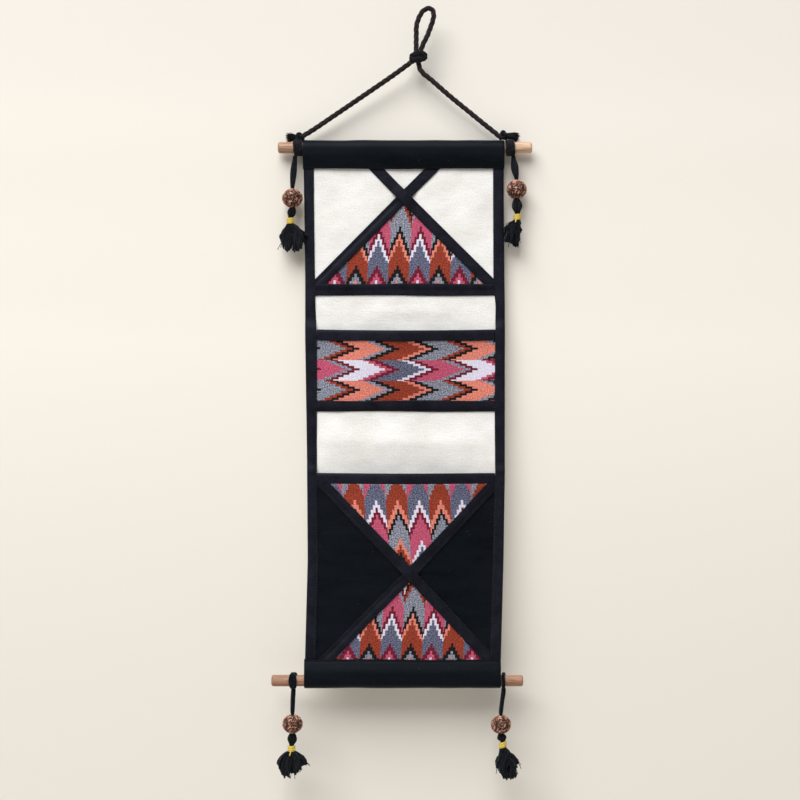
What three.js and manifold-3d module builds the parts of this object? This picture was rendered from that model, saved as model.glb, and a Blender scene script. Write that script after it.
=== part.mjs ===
// A pocket wall hanging: a cotton panel between two rods, bound in black, with two pockets, patches of
// flame-woven cloth, crossed straps, a twisted hanging cord and four bead tassels.
// Millimetres. +X is the viewer's right, +Y goes back to the wall and +Z is up.
// The origin is the inside top of the hanging loop, where a hook carries the whole.
import * as THREE from 'three';
import { mergeVertices } from 'three/addons/utils/BufferGeometryUtils.js';
import Module from 'manifold-3d';

const wasm = await Module();
wasm.setup();
const { clamp, lerp, smoothstep } = THREE.MathUtils;

// Cloth and sewing
const CLOTH = 1.0; // thickness of one cloth layer
const GAP = 0.3; // air between two pieces that lie on each other
const LAYER = CLOTH + GAP; // from the middle of one layer to the middle of the next
const TUCK = 2.5; // from a binding's outer fold in to the raw edge that it covers
const EASE = 0.15; // a little more air under cloth that is laid on a curve

// Where the cloth hangs: its middle line is left of the hook, its top fold is far below it
const MIDDLE_X = -25.5;
const FOLD_Z = -129.3;

// Heights on the cloth, measured down from its top fold
const HEADING_SEAM = 27.5;
const CROSS_BAND = { top: 143.5, foot: 155.2 };
const FOOT_SEAM = 519.5;

// The cloth's uneven edges and the widths of its side bindings
const EDGES = [
  { down: 27.5, left: -100.6, right: 100, leftHem: 10.6, rightHem: 11 },
  { down: 60, left: -100, right: 100, leftHem: 10, rightHem: 11 },
  { down: 143, left: -98.9, right: 100.8, leftHem: 10, rightHem: 11.5 },
  { down: 165, left: -99, right: 101, leftHem: 10.5, rightHem: 9.5 },
  { down: 200, left: -99, right: 101, leftHem: 12, rightHem: 10 },
  { down: 260, left: -98, right: 101, leftHem: 11, rightHem: 10.5 },
  { down: 330, left: -97, right: 101, leftHem: 10, rightHem: 10 },
  { down: 420, left: -96.5, right: 99.7, leftHem: 11, rightHem: 11 },
  { down: 519.5, left: -99.2, right: 97, leftHem: 11, rightHem: 11 },
];

// Pockets: height of the mouth, height of the binding on it, foot, where the front's own edge is sewn down,
// how far the mouth gapes, how far its middle sags, and the rows of the front's grid
const UPPER_POCKET = { mouth: 189, hem: 10.8, foot: 271, sewn: 266, gape: 10, sag: 1.3, rows: 5 };
const LOWER_POCKET = { mouth: 332.3, hem: 10.6, foot: 519.5, sewn: 526, gape: 13, sag: 0, rows: 9 };
const FOOT_BAND = { height: 10.8, off: 0.5, flat: 1.5 }; // over the upper pocket's foot, stepping off its edge
const GAPE_POWER = 1.4; // how roundly a pocket's front bows out
const HEM_EASE = 10; // below the mouth binding, the height over which the front lies back one layer
const POCKET_COLUMNS = 16;
const LIFT_ROOM = 2; // a side binding is up on a pocket's edge this far before the edge starts
const LIFT_RAMP = 7; // height over which it climbs
const BINDING_WIDTH = 10; // width at which its section is drawn, before the edge table's width is put on it
const BINDING_STEP = 6; // least height between a bend of the edge and a climb

// Soft folds in the white panel: height, middle, half height, half width and rise to the front
const PANEL_FOLDS = [
  { down: 84, middle: -68, halfHeight: 30, halfWidth: 22, rise: 0.7 },
  { down: 80, middle: 68, halfHeight: 30, halfWidth: 22, rise: 0.6 },
  { down: 174, middle: 32, halfHeight: 9, halfWidth: 60, rise: 0.9 },
  { down: 294, middle: 4, halfHeight: 14, halfWidth: 88, rise: 1.3 },
];
const PANEL_COLUMNS = 10;
const PANEL_ROWS = [
  22, 52, 68, 84, 100, 116, 155, 165, 174, 183, 200, 272, 284, 294, 304, 320, 420, 526,
];

// Crossed straps: where each starts at the top, where they cross as [across, down], where each ends at the
// foot, the stretches between the crossing and an end, and the ease with which they lie on bowed cloth
const STRAP_WIDTH = 11;
const CROSSING_FLAT = 7; // half length of the level stretch where one strap crosses the other
const CROSSING_RAMP = 14; // from the crossing to where the strap lies flat again
const TOP_CROSS = {
  from: -28.6, fromOther: 29.1, middle: [-0.1, 56.8], to: 87, toOther: -85.9, stretches: 3, ease: EASE,
};
const POCKET_CROSS = {
  from: -81, fromOther: 90, middle: [5.9, 432.4], to: 86.3, toOther: -78.7, stretches: 8, ease: 2.6 * EASE,
};
const PATCH_APEX = 5; // from a crossing to where the hidden tip of a patch is cut off
const PATCH_EDGE = 1; // from a patch's level edge to the seam below it
const TOP_PATCH_GRID = { columns: 4, rows: 3 };
const POCKET_UPPER_GRID = { columns: 14, rows: 8 };
const POCKET_LOWER_GRID = { columns: 10, rows: 6 };

// Rods
const ROD_RADIUS = 5.6;
const ROD_CHAMFER = 1.4;
const ROD_SIDES = 16;
const ROD_SWELLS = [
  { share: 0.35, swell: 1.02 },
  { share: 0.7, swell: 0.98 },
]; // where along its length a rod is a little thick or thin
const TOP_ROD = { from: -151.5, to: 102.5, z: -136.5 };
const FOOT_ROD = { from: -158, to: 93.5, z: -669.4 };

// Casings round the rods
const CASING = 1.2; // the folded strip's thickness
const CASING_ROOM = 0.4; // from the rod to the cloth round it
const HEADING = { left: -101, right: 100.3 };
const FOOT = { left: -99.7, right: 96.6 };
const CASING_STEPS = 6;
const CASING_SIDES = 12; // flats of the fold round the rod
const SEAM_WAVE = 0.5; // how far a seam wanders from straight
const SEAM_BENDS = 8; // angle through which a seam's wave goes from end to end
const SEAM_ROOM = SEAM_WAVE + GAP; // what ends at a seam stops this far from its line

// Hanging cord: three strands laid together
const CORD_RADIUS = 2.3;
const CORD_LOBE = 0.16; // how far each strand stands out of the round, as a share of the radius
const CORD_GROOVE = 0.4; // how much deeper the grooves are than the strands are high
const CORD_STRANDS = 3;
const CORD_SIDES = 9;
const CORD_LAY = 40; // length of one full turn of the strands
const CORD_STEP = 4.8; // length between two sections
const LEFT_LEG = [
  [-125.6, -123.7], [-117.5, -119.8], [-93, -102.9], [-62, -81.8], [-36, -63.9], [-18, -50.75],
];
const RIGHT_LEG = [
  [-10.7, -52.8], [-9.6, -57.6], [-6, -62.8], [1.1, -68.1], [20, -84.6], [40.5, -102],
  [55, -113.4], [63, -119.2], [69.6, -122.2],
];
const LOOP = [
  [-13.3, -39.6], [-13.2, -24.5], [-12.9, -14.3], [-10.1, -5.6], [-6, 0.5], [-0.9, 2.8], [2.6, 1.5],
  [4.2, -3.1], [3.4, -9.2], [0.6, -17.4], [-2.5, -25.5], [-5.6, -32.7], [-6.9, -39.8],
];
const LOOP_LEAN = -1; // how far forward the end of the loop lies

// Knot of the cord, and the hitches that tie it to the rod
const KNOT = { x: -11.5, z: -46.1, halfWidth: 8.7, halfDepth: 5.8, halfHeight: 6.2 };
const KNOT_WRAPS = 2;
const KNOT_SLANT = 0.35;
const KNOT_RIDGE = 0.08; // how far the wraps of the knot stand out, as a share of its size
const KNOT_GRID = { sides: 16, rings: 10 };
const WRAP_THICK = 1.2; // half thickness of cord or yarn drawn tight round a rod
const WRAP_GRID = { sides: 6, steps: 14 };
const LUMP_GRID = { sides: 10, rings: 6 };
const HITCHES = [
  { name: 'hitch_left', wraps: [-133.2, -129.4], lump: [-130, -125.6], frayedTo: [-142.8, -125.8] },
  { name: 'hitch_right', wraps: [78.5, 82.5], lump: [74, -123.9], frayedTo: [89.4, -125.8] },
];
const HITCH_LUMP = 4.5; // radius of the tied lump
const WRAP_HALF_WIDTH = 2.1; // half width of one turn of a hitch along the rod
const FRAY_STRANDS = 6;
const FRAY_SPREAD = 4.2; // how far the frayed strands stand off their middle
const FRAY_ROOT = 0.4; // spread of their roots, as a share of that of their tips
const FRAY_BEND = 0.6; // where along a frayed strand it bends
const FRAY_UNEVEN = 1.6; // by how much the shortest one falls short
const BUNDLE = { share: 0.45, drop: 0.6, length: 0.34, halfDepth: 3.6, halfHeight: 3.4 }; // roots of the frays

// Tassels, one row each, [across, height] of the top of the strip, the bead, the thread wrap and the
// tip of the skirt; the skirt's width and depth, the bulge of the strip and, for those that are looped
// over the foot rod, the half width of the loop
const TASSELS = [
  { name: 'top_left', strip: [-134.6, -145], bead: [-136.8, -187.5], wrap: [-138.6, -209.5],
    tip: [-135.3, -241.8], width: 27, depth: 15, bulge: 3.1, loop: 0 },
  { name: 'top_right', strip: [83.9, -145], bead: [86.7, -178.8], wrap: [87.6, -205.6],
    tip: [82.5, -236.1], width: 18, depth: 15, bulge: 4.2, loop: 0 },
  { name: 'foot_left', strip: [-136.1, -669.4], bead: [-136.7, -712.3], wrap: [-137.6, -736.4],
    tip: [-136, -766], width: 31, depth: 19, bulge: 2.5, loop: 4.6 },
  { name: 'foot_right', strip: [73.9, -669.4], bead: [71.1, -713], wrap: [72.9, -733.8],
    tip: [78.7, -769.4], width: 25, depth: 17, bulge: 2.3, loop: 2.3 },
];
const TASSEL_Y = -4.5; // the beads keep the tassels off the wall
const BEAD = { radius: 10, halfHeight: 9.5, bore: 2.2, ridges: 5, roughness: 0.05 };
const BEAD_KNOBS = { twist: 0.6, rise: 0.9, turn: 2 }; // how the knobs wander up and round a bead
const BEAD_SIDES = 16;
const BEAD_RINGS = 8;
const YARN = { strip: 2.2, core: 1.7, head: 4.3, neck: 2.4, crown: 4.6, end: 1.5 }; // radii of a hank
const YARN_EASE = { neck: 0.5, foot: 0.8, bead: 1.2, top: 2 }; // lengths over which its radius changes
const YARN_FLAT = 0.9; // a hank is this much flatter from front to back
const YARN_SIDES = 8;
const CROWN = { drop: 6, foot: 9, end: 11 }; // depths below the thread wrap of the skirt's hidden middle
const THREAD_WRAP = { inner: 2.75, outer: 3.7, groove: 0.35, turns: 3, height: 6.4, sides: 10 };
const SKIRT_STRANDS = 20;
const SKIRT = { root: 2.6, bendFall: 0.4, bendOut: 0.42, bendLean: 0.35, tipLean: 0.9 };
const HEM = { dome: 0.42, uneven: 0.08 }; // how much shorter the skirt's outer locks are, and how unevenly
const STRAND_RADII = [1, 1.8, 1.5]; // tip, middle and root of one lock of yarn
const STRAND_SIDES = 3;
const GOLDEN_ANGLE = Math.PI * (3 - Math.sqrt(5));

// Finishes
const BLACK_COTTON = { color: 0x171920, roughness: 0.95, metalness: 0 };
const WHITE_COTTON = { color: 0xebe9e2, roughness: 0.95, metalness: 0 };
const FLAME_CLOTH = { color: 0xb0563f, roughness: 0.9, metalness: 0 };
const BLACK_YARN = { color: 0x14151a, roughness: 1, metalness: 0 };
const YELLOW_THREAD = { color: 0xd9b02f, roughness: 0.7, metalness: 0 };
const PALE_WOOD = { color: 0xc09070, roughness: 0.75, metalness: 0 };
const SEED = { color: 0x7a5444, roughness: 0.7, metalness: 0 };

// Helpers

/** Repeatable uneven value from -1 to 1 for a whole number. */
function uneven(number) {
  const wave = Math.sin(number * 12.9898 + 4.1) * 43758.5453;
  return 2 * (wave - Math.floor(wave)) - 1;
}

/** Value of one column of the edge table at a height, straight between its rows. */
function edge(column, down) {
  const last = EDGES.length - 1;
  const row = clamp(EDGES.findIndex((line) => line.down >= down), 1, last);
  const above = EDGES[row - 1];
  const below = down > EDGES[last].down ? EDGES[last] : EDGES[row];
  const span = Math.max(below.down - above.down, 1);
  return lerp(above[column], below[column], clamp((down - above.down) / span, 0, 1));
}

/** Inner edges of the side bindings at a height. */
const innerLeft = (down) => edge('left', down) + edge('leftHem', down);
const innerRight = (down) => edge('right', down) - edge('rightHem', down);

/** Place of a sheet's column: the outer two lie under the bindings, the rest spread between them. */
function columnX(column, last, down) {
  if (column === 0) {
    return edge('left', down) + TUCK;
  }
  if (column === last) {
    return edge('right', down) - TUCK;
  }
  return lerp(innerLeft(down), innerRight(down), (column - 1) / (last - 2));
}

/** How far a seam is off straight at a share of its length; it is true at both ends. */
function seamWander(share, start) {
  return SEAM_WAVE * Math.sin(SEAM_BENDS * share + start) * Math.sin(Math.PI * share);
}

/** Leave only positions, with shared corners merged, so that the surface is closed. */
function closed(geometry) {
  const bare = geometry.clone();
  bare.deleteAttribute('normal');
  bare.deleteAttribute('uv');
  const whole = mergeVertices(bare, 1e-3);
  whole.computeVertexNormals();
  return whole;
}

/** Move every point of a geometry to the place that a function gives for it. */
function moved(geometry, place) {
  const points = geometry.attributes.position;
  for (let i = 0; i < points.count; i += 1) {
    const spot = place(points.getX(i), points.getY(i), points.getZ(i));
    points.setXYZ(i, spot.x, spot.y, spot.z);
  }
  return closed(geometry);
}

/** A section carried through whole steps, each point of each step placed by a function. */
function sweep(section, steps, place) {
  const settings = { depth: steps, steps, bevelEnabled: false };
  const straight = new THREE.ExtrudeGeometry(section, settings);
  return moved(straight, (a, b, step) => place(a, b, Math.round(step)));
}

/** A cloth sheet on a grid: the function gives its middle at a column and row, its faces lie along Y. */
function sheet(columns, rows, middle) {
  const grid = new THREE.BoxGeometry(columns, 1, rows, columns, 1, rows);
  return moved(grid, (x, y, z) => {
    const spot = middle(Math.round(x + columns / 2), Math.round(rows / 2 - z));
    spot.y += y * CLOTH;
    return spot;
  });
}

/** The outline of a thin strip seen on edge, from the line through its middle and its thickness. */
function ribbon(line, thickness) {
  const sides = [-1, 1].map((side) => line.map((point, i) => {
    const before = line[Math.max(i - 1, 0)];
    const after = line[Math.min(i + 1, line.length - 1)];
    const way = new THREE.Vector2().subVectors(after, before).normalize();
    const square = new THREE.Vector2(-way.y, way.x);
    return point.clone().addScaledVector(square, side * thickness / 2);
  }));
  return new THREE.Shape([...sides[0], ...sides[1].reverse()]);
}

/** Points of an arc about a middle, from one angle to another. */
function arc(middle, radius, from, to, count) {
  return Array.from({ length: count + 1 }, (_, i) => {
    const angle = lerp(from, to, i / count);
    return new THREE.Vector2(middle.x + radius * Math.cos(angle), middle.y + radius * Math.sin(angle));
  });
}

/** A regular outline, its radius set by a function of the angle. */
function round(sides, radius) {
  const points = Array.from({ length: sides }, (_, i) => {
    const angle = 2 * Math.PI * i / sides;
    return new THREE.Vector2(Math.cos(angle), Math.sin(angle)).multiplyScalar(radius(angle));
  });
  return new THREE.Shape(points);
}

/** A closed geometry as a solid that can be joined. */
function solid(geometry) {
  const whole = closed(geometry);
  const mesh = new wasm.Mesh({
    numProp: 3,
    vertProperties: new Float32Array(whole.attributes.position.array),
    triVerts: new Uint32Array(whole.index.array),
  });
  return new wasm.Manifold(mesh);
}

/** Several closed geometries joined to one. */
function joined(geometries) {
  const whole = geometries.map(solid).reduce((sum, piece) => sum.add(piece)).getMesh();
  const geometry = new THREE.BufferGeometry();
  geometry.setAttribute('position', new THREE.BufferAttribute(whole.vertProperties, 3));
  geometry.setIndex(new THREE.BufferAttribute(whole.triVerts, 1));
  geometry.computeVertexNormals();
  return geometry;
}

/** A named mesh with a finish of its own. */
function piece(name, geometry, finish) {
  const mesh = new THREE.Mesh(geometry, new THREE.MeshStandardMaterial(finish));
  mesh.name = name;
  return mesh;
}

// Cloth

/** How far the white panel's soft folds rise to the front at a place. */
function panelRise(x, down) {
  return PANEL_FOLDS.reduce((sum, fold) => {
    const away = Math.hypot((x - fold.middle) / fold.halfWidth, (down - fold.down) / fold.halfHeight);
    return sum + fold.rise * (1 - smoothstep(away, 0, 1));
  }, 0);
}

/** The panel's own middle surface, whose raw edges lie inside the bindings. */
function backPanel() {
  return sheet(PANEL_COLUMNS, PANEL_ROWS.length - 1, (column, row) => {
    const down = PANEL_ROWS[row];
    const x = columnX(column, PANEL_COLUMNS, down);
    return new THREE.Vector3(x, -panelRise(x, down), -down);
  });
}

/** How many layers lie between the panel and a pocket's front: one more at the mouth's binding. */
function layersUnder(pocket, down) {
  const hemFoot = pocket.mouth + pocket.hem;
  return 2 - clamp((down - hemFoot) / HEM_EASE, 0, 1);
}

/** How far a pocket's front stands out from the panel: sewn down at the sides and foot, open at the top. */
function pocketStand(pocket, x, down) {
  const left = innerLeft(down);
  const across = clamp((x - left) / (innerRight(down) - left), 0, 1);
  const fall = clamp((down - pocket.mouth) / (pocket.foot - pocket.mouth), 0, 1);
  const bow = (Math.sin(Math.PI * across) * Math.cos(Math.PI / 2 * fall)) ** GAPE_POWER;
  return LAYER * layersUnder(pocket, down) + pocket.gape * bow;
}

/** How far the edge of a pocket's mouth hangs below its ends. */
function mouthSag(pocket, x) {
  const left = innerLeft(pocket.mouth);
  const across = clamp((x - left) / (innerRight(pocket.mouth) - left), 0, 1);
  return pocket.sag * Math.sin(Math.PI * across);
}

/** A pocket's front, a sheet whose outer columns lie under the side bindings. */
function pocketFront(pocket) {
  const last = POCKET_COLUMNS;
  const hemFoot = pocket.mouth + pocket.hem;
  const top = pocket.mouth + CLOTH + LAYER - GAP / 2;
  const heights = [top, hemFoot];
  for (let row = 0; row <= pocket.rows; row += 1) {
    heights.push(lerp(hemFoot + HEM_EASE, Math.min(pocket.foot, pocket.sewn), row / pocket.rows));
  }
  if (pocket.sewn > pocket.foot) {
    heights.push(pocket.sewn);
  }
  return sheet(last, heights.length - 1, (column, row) => {
    const level = heights[row];
    const x = columnX(column, last, level);
    const down = level + mouthSag(pocket, x) * (1 - row / (heights.length - 1));
    return new THREE.Vector3(x, -pocketStand(pocket, x, down), -down);
  });
}

/** The edge-on outline of a strip folded over an edge at the origin, its leaves a layer to each side. */
function foldOver(leaf) {
  const crown = new THREE.Vector2(0, -LAYER - CLOTH / 2);
  const front = new THREE.Vector2(-LAYER, -leaf);
  const back = new THREE.Vector2(LAYER, -leaf);
  return ribbon([front, ...arc(crown, LAYER, Math.PI, 0, 4), back], CLOTH);
}

/** The binding folded over a pocket's mouth. */
function mouthBinding(pocket) {
  const left = innerLeft(pocket.mouth + pocket.hem) + GAP;
  const right = innerRight(pocket.mouth + pocket.hem) - GAP;
  return sweep(foldOver(pocket.hem), POCKET_COLUMNS, (y, z, step) => {
    const x = lerp(left, right, step / POCKET_COLUMNS);
    const down = pocket.mouth + mouthSag(pocket, x) - z;
    return new THREE.Vector3(x, y - pocketStand(pocket, x, down), -down);
  });
}

/** Heights between which a side binding climbs onto a pocket's edge and comes off it again. */
function liftStops(pocket) {
  const on = pocket.mouth - LIFT_ROOM;
  const hemFoot = pocket.mouth + pocket.hem;
  const off = pocket.sewn + LIFT_ROOM;
  const stops = [on - LIFT_RAMP, on, hemFoot, hemFoot + HEM_EASE, off, off + LIFT_RAMP];
  return stops.filter((down) => down < FOOT_SEAM - LIFT_RAMP);
}

/** How far a side binding's front leaf is lifted by a pocket's front that is sewn in under it. */
function bindingLift(down) {
  return [UPPER_POCKET, LOWER_POCKET].reduce((sum, pocket) => {
    const on = pocket.mouth - LIFT_ROOM;
    const off = pocket.sewn + LIFT_ROOM;
    const share = smoothstep(down, on - LIFT_RAMP, on) - smoothstep(down, off, off + LIFT_RAMP);
    return sum + share * LAYER * layersUnder(pocket, down);
  }, 0);
}

/** Heights from the foot up at which a side binding changes: bends of the edge, and climbs on and off. */
function bindingStops() {
  const lifts = [...liftStops(UPPER_POCKET), ...liftStops(LOWER_POCKET)];
  const apart = (down) => lifts.every((lift) => Math.abs(lift - down) > BINDING_STEP);
  const bends = EDGES.slice(1, -1).map((row) => row.down).filter(apart);
  const stops = [HEADING_SEAM + SEAM_ROOM, ...bends, ...lifts, FOOT_SEAM - SEAM_ROOM];
  return stops.sort((a, b) => b - a);
}

/** A strip folded over the cloth's raw side edge; side is -1 for the left and 1 for the right. */
function sideBinding(side) {
  const name = side < 0 ? 'left' : 'right';
  const stops = bindingStops();
  const section = foldOver(BINDING_WIDTH).getPoints();
  const turned = new THREE.Shape(section.map((point) => new THREE.Vector2(side * point.y, point.x)));
  return sweep(turned, stops.length - 1, (across, y, step) => {
    const down = stops[step];
    const inward = across * edge(name + 'Hem', down) / BINDING_WIDTH;
    const front = clamp(-y / (LAYER - CLOTH / 2), 0, 1);
    return new THREE.Vector3(edge(name, down) + inward, y - front * bindingLift(down), -down);
  });
}

/** A strip laid flat across the cloth; stand gives its distance in front of the panel. */
function flatBand(heights, stand) {
  return sheet(POCKET_COLUMNS, heights.length - 1, (column, row) => {
    const share = column / POCKET_COLUMNS;
    const x = lerp(innerLeft(heights[row]) + GAP * 2, innerRight(heights[row]) - GAP * 2, share);
    const wander = seamWander(share, 2 * row);
    return new THREE.Vector3(x, -stand(x, heights[row]), -heights[row] - wander);
  });
}

/** The band over the upper pocket's foot: on the pocket's front at its top, on the panel at its foot. */
function footBandStand(x, down) {
  const offFront = smoothstep(down, UPPER_POCKET.sewn + FOOT_BAND.off, UPPER_POCKET.foot - FOOT_BAND.flat);
  return pocketStand(UPPER_POCKET, x, down) + (LAYER + EASE) * (1 - offFront);
}

/** A casing: a strip folded round a rod, its two leaves meeting the panel at a seam.
 *  up is 1 where the fold is at the top; the leaves' distances from the panel's middle are front and back. */
function casing(reach, seam, up, front, back) {
  const radius = ROD_RADIUS + CASING_ROOM + CASING / 2;
  const lean = (leaf) => Math.acos(radius / Math.hypot(leaf, seam)) + Math.atan2(leaf, seam);
  const start = -Math.PI / 2 - lean(front);
  const end = -Math.PI / 2 + lean(back) - 2 * Math.PI;
  const fold = arc(new THREE.Vector2(), radius, start, end, CASING_SIDES);
  const line = [new THREE.Vector2(-front, -seam), ...fold, new THREE.Vector2(back, -seam)];
  return sweep(ribbon(line, CASING), CASING_STEPS, (y, z, step) => {
    const share = step / CASING_STEPS;
    const wander = seamWander(share, up) * clamp(-z / seam, 0, 1);
    const along = up > 0 ? share : 1 - share;
    return new THREE.Vector3(lerp(reach.left, reach.right, along), y, up * (z + wander));
  });
}

// Patches and straps

/** Distance from a point, along a direction, to where it leaves a window. */
function wayOut(point, way, window) {
  const right = way.y > 0 ? window.rightBelow : window.rightAbove;
  const sideways = ((way.x > 0 ? right : window.left) - point.x) / way.x;
  const upright = ((way.y > 0 ? window.foot : window.top) - point.y) / way.y;
  return Math.min(sideways, upright);
}

/** A strap through a crossing, cut off at a window's edges. The base gives what it is sewn on, lifted how many
 *  layers it lies on at a signed distance along and across it. */
function strap(cross, fromX, toX, window, base, lifted) {
  const middle = new THREE.Vector2(...cross.middle);
  const up = new THREE.Vector2(fromX, window.top).sub(middle).normalize();
  const down = new THREE.Vector2(toX, window.foot).sub(middle).normalize();
  const outer = Array.from({ length: cross.stretches }, (_, i) => (i + 1) / cross.stretches);
  const half = STRAP_WIDTH / 2;
  const section = ribbon([-half, 0, half].map((across) => new THREE.Vector2(across, 0)), CLOTH);
  const steps = 2 * (outer.length + 2) - 1;
  return sweep(section, steps, (across, y, step) => {
    const lower = step <= outer.length + 1;
    const way = lower ? down : up;
    const square = lower ? new THREE.Vector2(-way.y, way.x) : new THREE.Vector2(way.y, -way.x);
    const start = middle.clone().addScaledVector(square, -across);
    const end = wayOut(start, way, window) - 2 * GAP;
    const fromCrossing = lower ? outer.length + 1 - step : step - outer.length - 2;
    const far = fromCrossing < 2 ? 0 : outer[fromCrossing - 2];
    const near = fromCrossing === 0 ? CROSSING_FLAT : CROSSING_RAMP;
    const along = lerp(near, end, far);
    const spot = start.addScaledVector(way, along);
    const signed = lower ? along : -along;
    const stand = base(spot.x, spot.y) + LAYER * lifted(signed, across) + cross.ease;
    return new THREE.Vector3(spot.x, y - stand, -spot.y);
  });
}

/** Layers under a strap: over a patch on one side of its middle, and over its fellow at the crossing. */
function strapLayers(over, patchAbove, side) {
  return (along, across) => {
    const near = 1 - smoothstep(Math.abs(along), CROSSING_FLAT, CROSSING_RAMP);
    const patchSide = along < 0 ? -side : side;
    const beside = along < 0 && !patchAbove ? 0 : Number(across * patchSide >= 0);
    return 1 + Math.max(near, beside) + (over ? near : 0);
  };
}

/** Both straps of a cross, by name. */
function crossedStraps(prefix, cross, window, base, patchAbove) {
  const over = strap(cross, cross.from, cross.to, window, base, strapLayers(true, patchAbove, -1));
  const under = strap(cross, cross.fromOther, cross.toOther, window, base, strapLayers(false, patchAbove, 1));
  return [
    piece(prefix + '_over', over, BLACK_COTTON),
    piece(prefix + '_under', under, BLACK_COTTON),
  ];
}

/** A patch of flame cloth between two straps' middle lines, from near the crossing to a level edge. */
function patch(cross, ends, level, grid, base) {
  const [middleX, middleDown] = cross.middle;
  const sign = Math.sign(level - middleDown);
  const apex = middleDown + sign * PATCH_APEX;
  return sheet(grid.columns, grid.rows, (column, row) => {
    const share = sign > 0 ? row / grid.rows : 1 - row / grid.rows;
    const down = lerp(apex, level, share);
    const open = (down - middleDown) / (level - middleDown);
    const left = lerp(middleX, ends[0], open) + CLOTH;
    const right = lerp(middleX, ends[1], open) - CLOTH;
    const x = lerp(left, right, column / grid.columns);
    return new THREE.Vector3(x, -base(x, down) - LAYER - cross.ease / 2, -down);
  });
}

// Rods, cord and tassels

/** A dowel along X with its rims worn round. */
function rod(reach) {
  const length = reach.to - reach.from;
  const rim = ROD_RADIUS - ROD_CHAMFER;
  const swells = ROD_SWELLS.map(({ share, swell }) => [ROD_RADIUS * swell, length * share]);
  const start = [[0, 0], [rim, 0], [ROD_RADIUS, ROD_CHAMFER]];
  const end = [[ROD_RADIUS, length - ROD_CHAMFER], [rim, length], [0, length]];
  const profile = [...start, ...swells, ...end].map(([radius, along]) => new THREE.Vector2(radius, along));
  const turned = new THREE.LatheGeometry(profile, ROD_SIDES);
  return moved(turned, (a, along, b) => new THREE.Vector3(reach.from + along, b, reach.z + a));
}

/** A length of the laid cord through points [across, height], its strands turning as it goes. */
function cord(route, depth) {
  const points = route.map(([x, z], i) => new THREE.Vector3(x, depth * i / (route.length - 1), z));
  const curve = new THREE.CatmullRomCurve3(points, false, 'centripetal');
  const length = curve.getLength();
  const steps = Math.round(length / CORD_STEP);
  const frames = curve.computeFrenetFrames(steps, false);
  const strand = (angle) => CORD_LOBE * (Math.cos(CORD_STRANDS * angle) - CORD_GROOVE);
  const section = round(CORD_SIDES, (angle) => CORD_RADIUS * (1 + strand(angle)));
  return sweep(section, steps, (a, b, step) => {
    const turn = 2 * Math.PI * length / CORD_LAY * step / steps;
    const sideways = a * Math.cos(turn) - b * Math.sin(turn);
    const upright = a * Math.sin(turn) + b * Math.cos(turn);
    const spot = curve.getPointAt(step / steps);
    spot.addScaledVector(frames.normals[step], sideways);
    return spot.addScaledVector(frames.binormals[step], upright);
  });
}

/** The knot: a rounded lump on which the wraps of the cord stand out as slanted ridges. */
function knot() {
  const ball = new THREE.SphereGeometry(1, KNOT_GRID.sides, KNOT_GRID.rings);
  return moved(ball, (a, b, c) => {
    const slant = b + KNOT_SLANT * a;
    const size = 1 + KNOT_RIDGE * (Math.cos(KNOT_WRAPS * Math.PI * slant) - 1) * (1 - b * b);
    return new THREE.Vector3(KNOT.x + KNOT.halfWidth * a * size, -KNOT.halfDepth * c * size,
      KNOT.z + KNOT.halfHeight * b * size);
  });
}

/** One turn of cord or yarn drawn flat round a rod. */
function turnRoundRod(x, z, halfWidth) {
  const radius = ROD_RADIUS * ROD_SWELLS[0].swell + GAP + WRAP_THICK;
  const ring = new THREE.TorusGeometry(radius, WRAP_THICK, WRAP_GRID.sides, WRAP_GRID.steps);
  return moved(ring, (a, b, c) => new THREE.Vector3(x + c * halfWidth / WRAP_THICK, a, z + b));
}

/** A rounded lump of yarn. */
function lump(middle, size) {
  const ball = new THREE.SphereGeometry(1, LUMP_GRID.sides, LUMP_GRID.rings);
  return moved(ball, (a, b, c) => new THREE.Vector3(a, -c, b).multiply(size).add(middle));
}

/** One lock of yarn from its root through a bend to its tip. */
function lock(root, bend, tip) {
  const line = [tip, bend, root];
  const section = round(STRAND_SIDES, () => 1);
  const way = new THREE.Vector3().subVectors(root, tip).normalize();
  const upright = Math.abs(way.z) > 0.5;
  const first = upright ? new THREE.Vector3(1, 0, 0) : new THREE.Vector3(-way.z, 0, way.x).normalize();
  const second = new THREE.Vector3().crossVectors(way, first).normalize();
  return sweep(section, line.length - 1, (a, b, step) => {
    const spot = line[step].clone();
    spot.addScaledVector(first, a * STRAND_RADII[step]);
    return spot.addScaledVector(second, b * STRAND_RADII[step]);
  });
}

/** Frayed strands of a cord's cut end, from the middle of their bundle to uneven tips. */
function frays(row, middle) {
  const [endX, endZ] = row.frayedTo;
  const toward = Math.sign(endX - middle.x);
  return Array.from({ length: FRAY_STRANDS }, (_, i) => {
    const angle = i * GOLDEN_ANGLE;
    const spread = FRAY_SPREAD * Math.sqrt((i + 0.5) / FRAY_STRANDS);
    const off = new THREE.Vector3(0, spread * Math.sin(angle), spread * Math.cos(angle));
    const short = FRAY_UNEVEN * (1 + uneven(i)) / 2;
    const tip = new THREE.Vector3(endX - toward * short, 0, endZ).add(off);
    const root = middle.clone().addScaledVector(off, FRAY_ROOT);
    return lock(root, root.clone().lerp(tip, FRAY_BEND), tip);
  });
}

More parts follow.
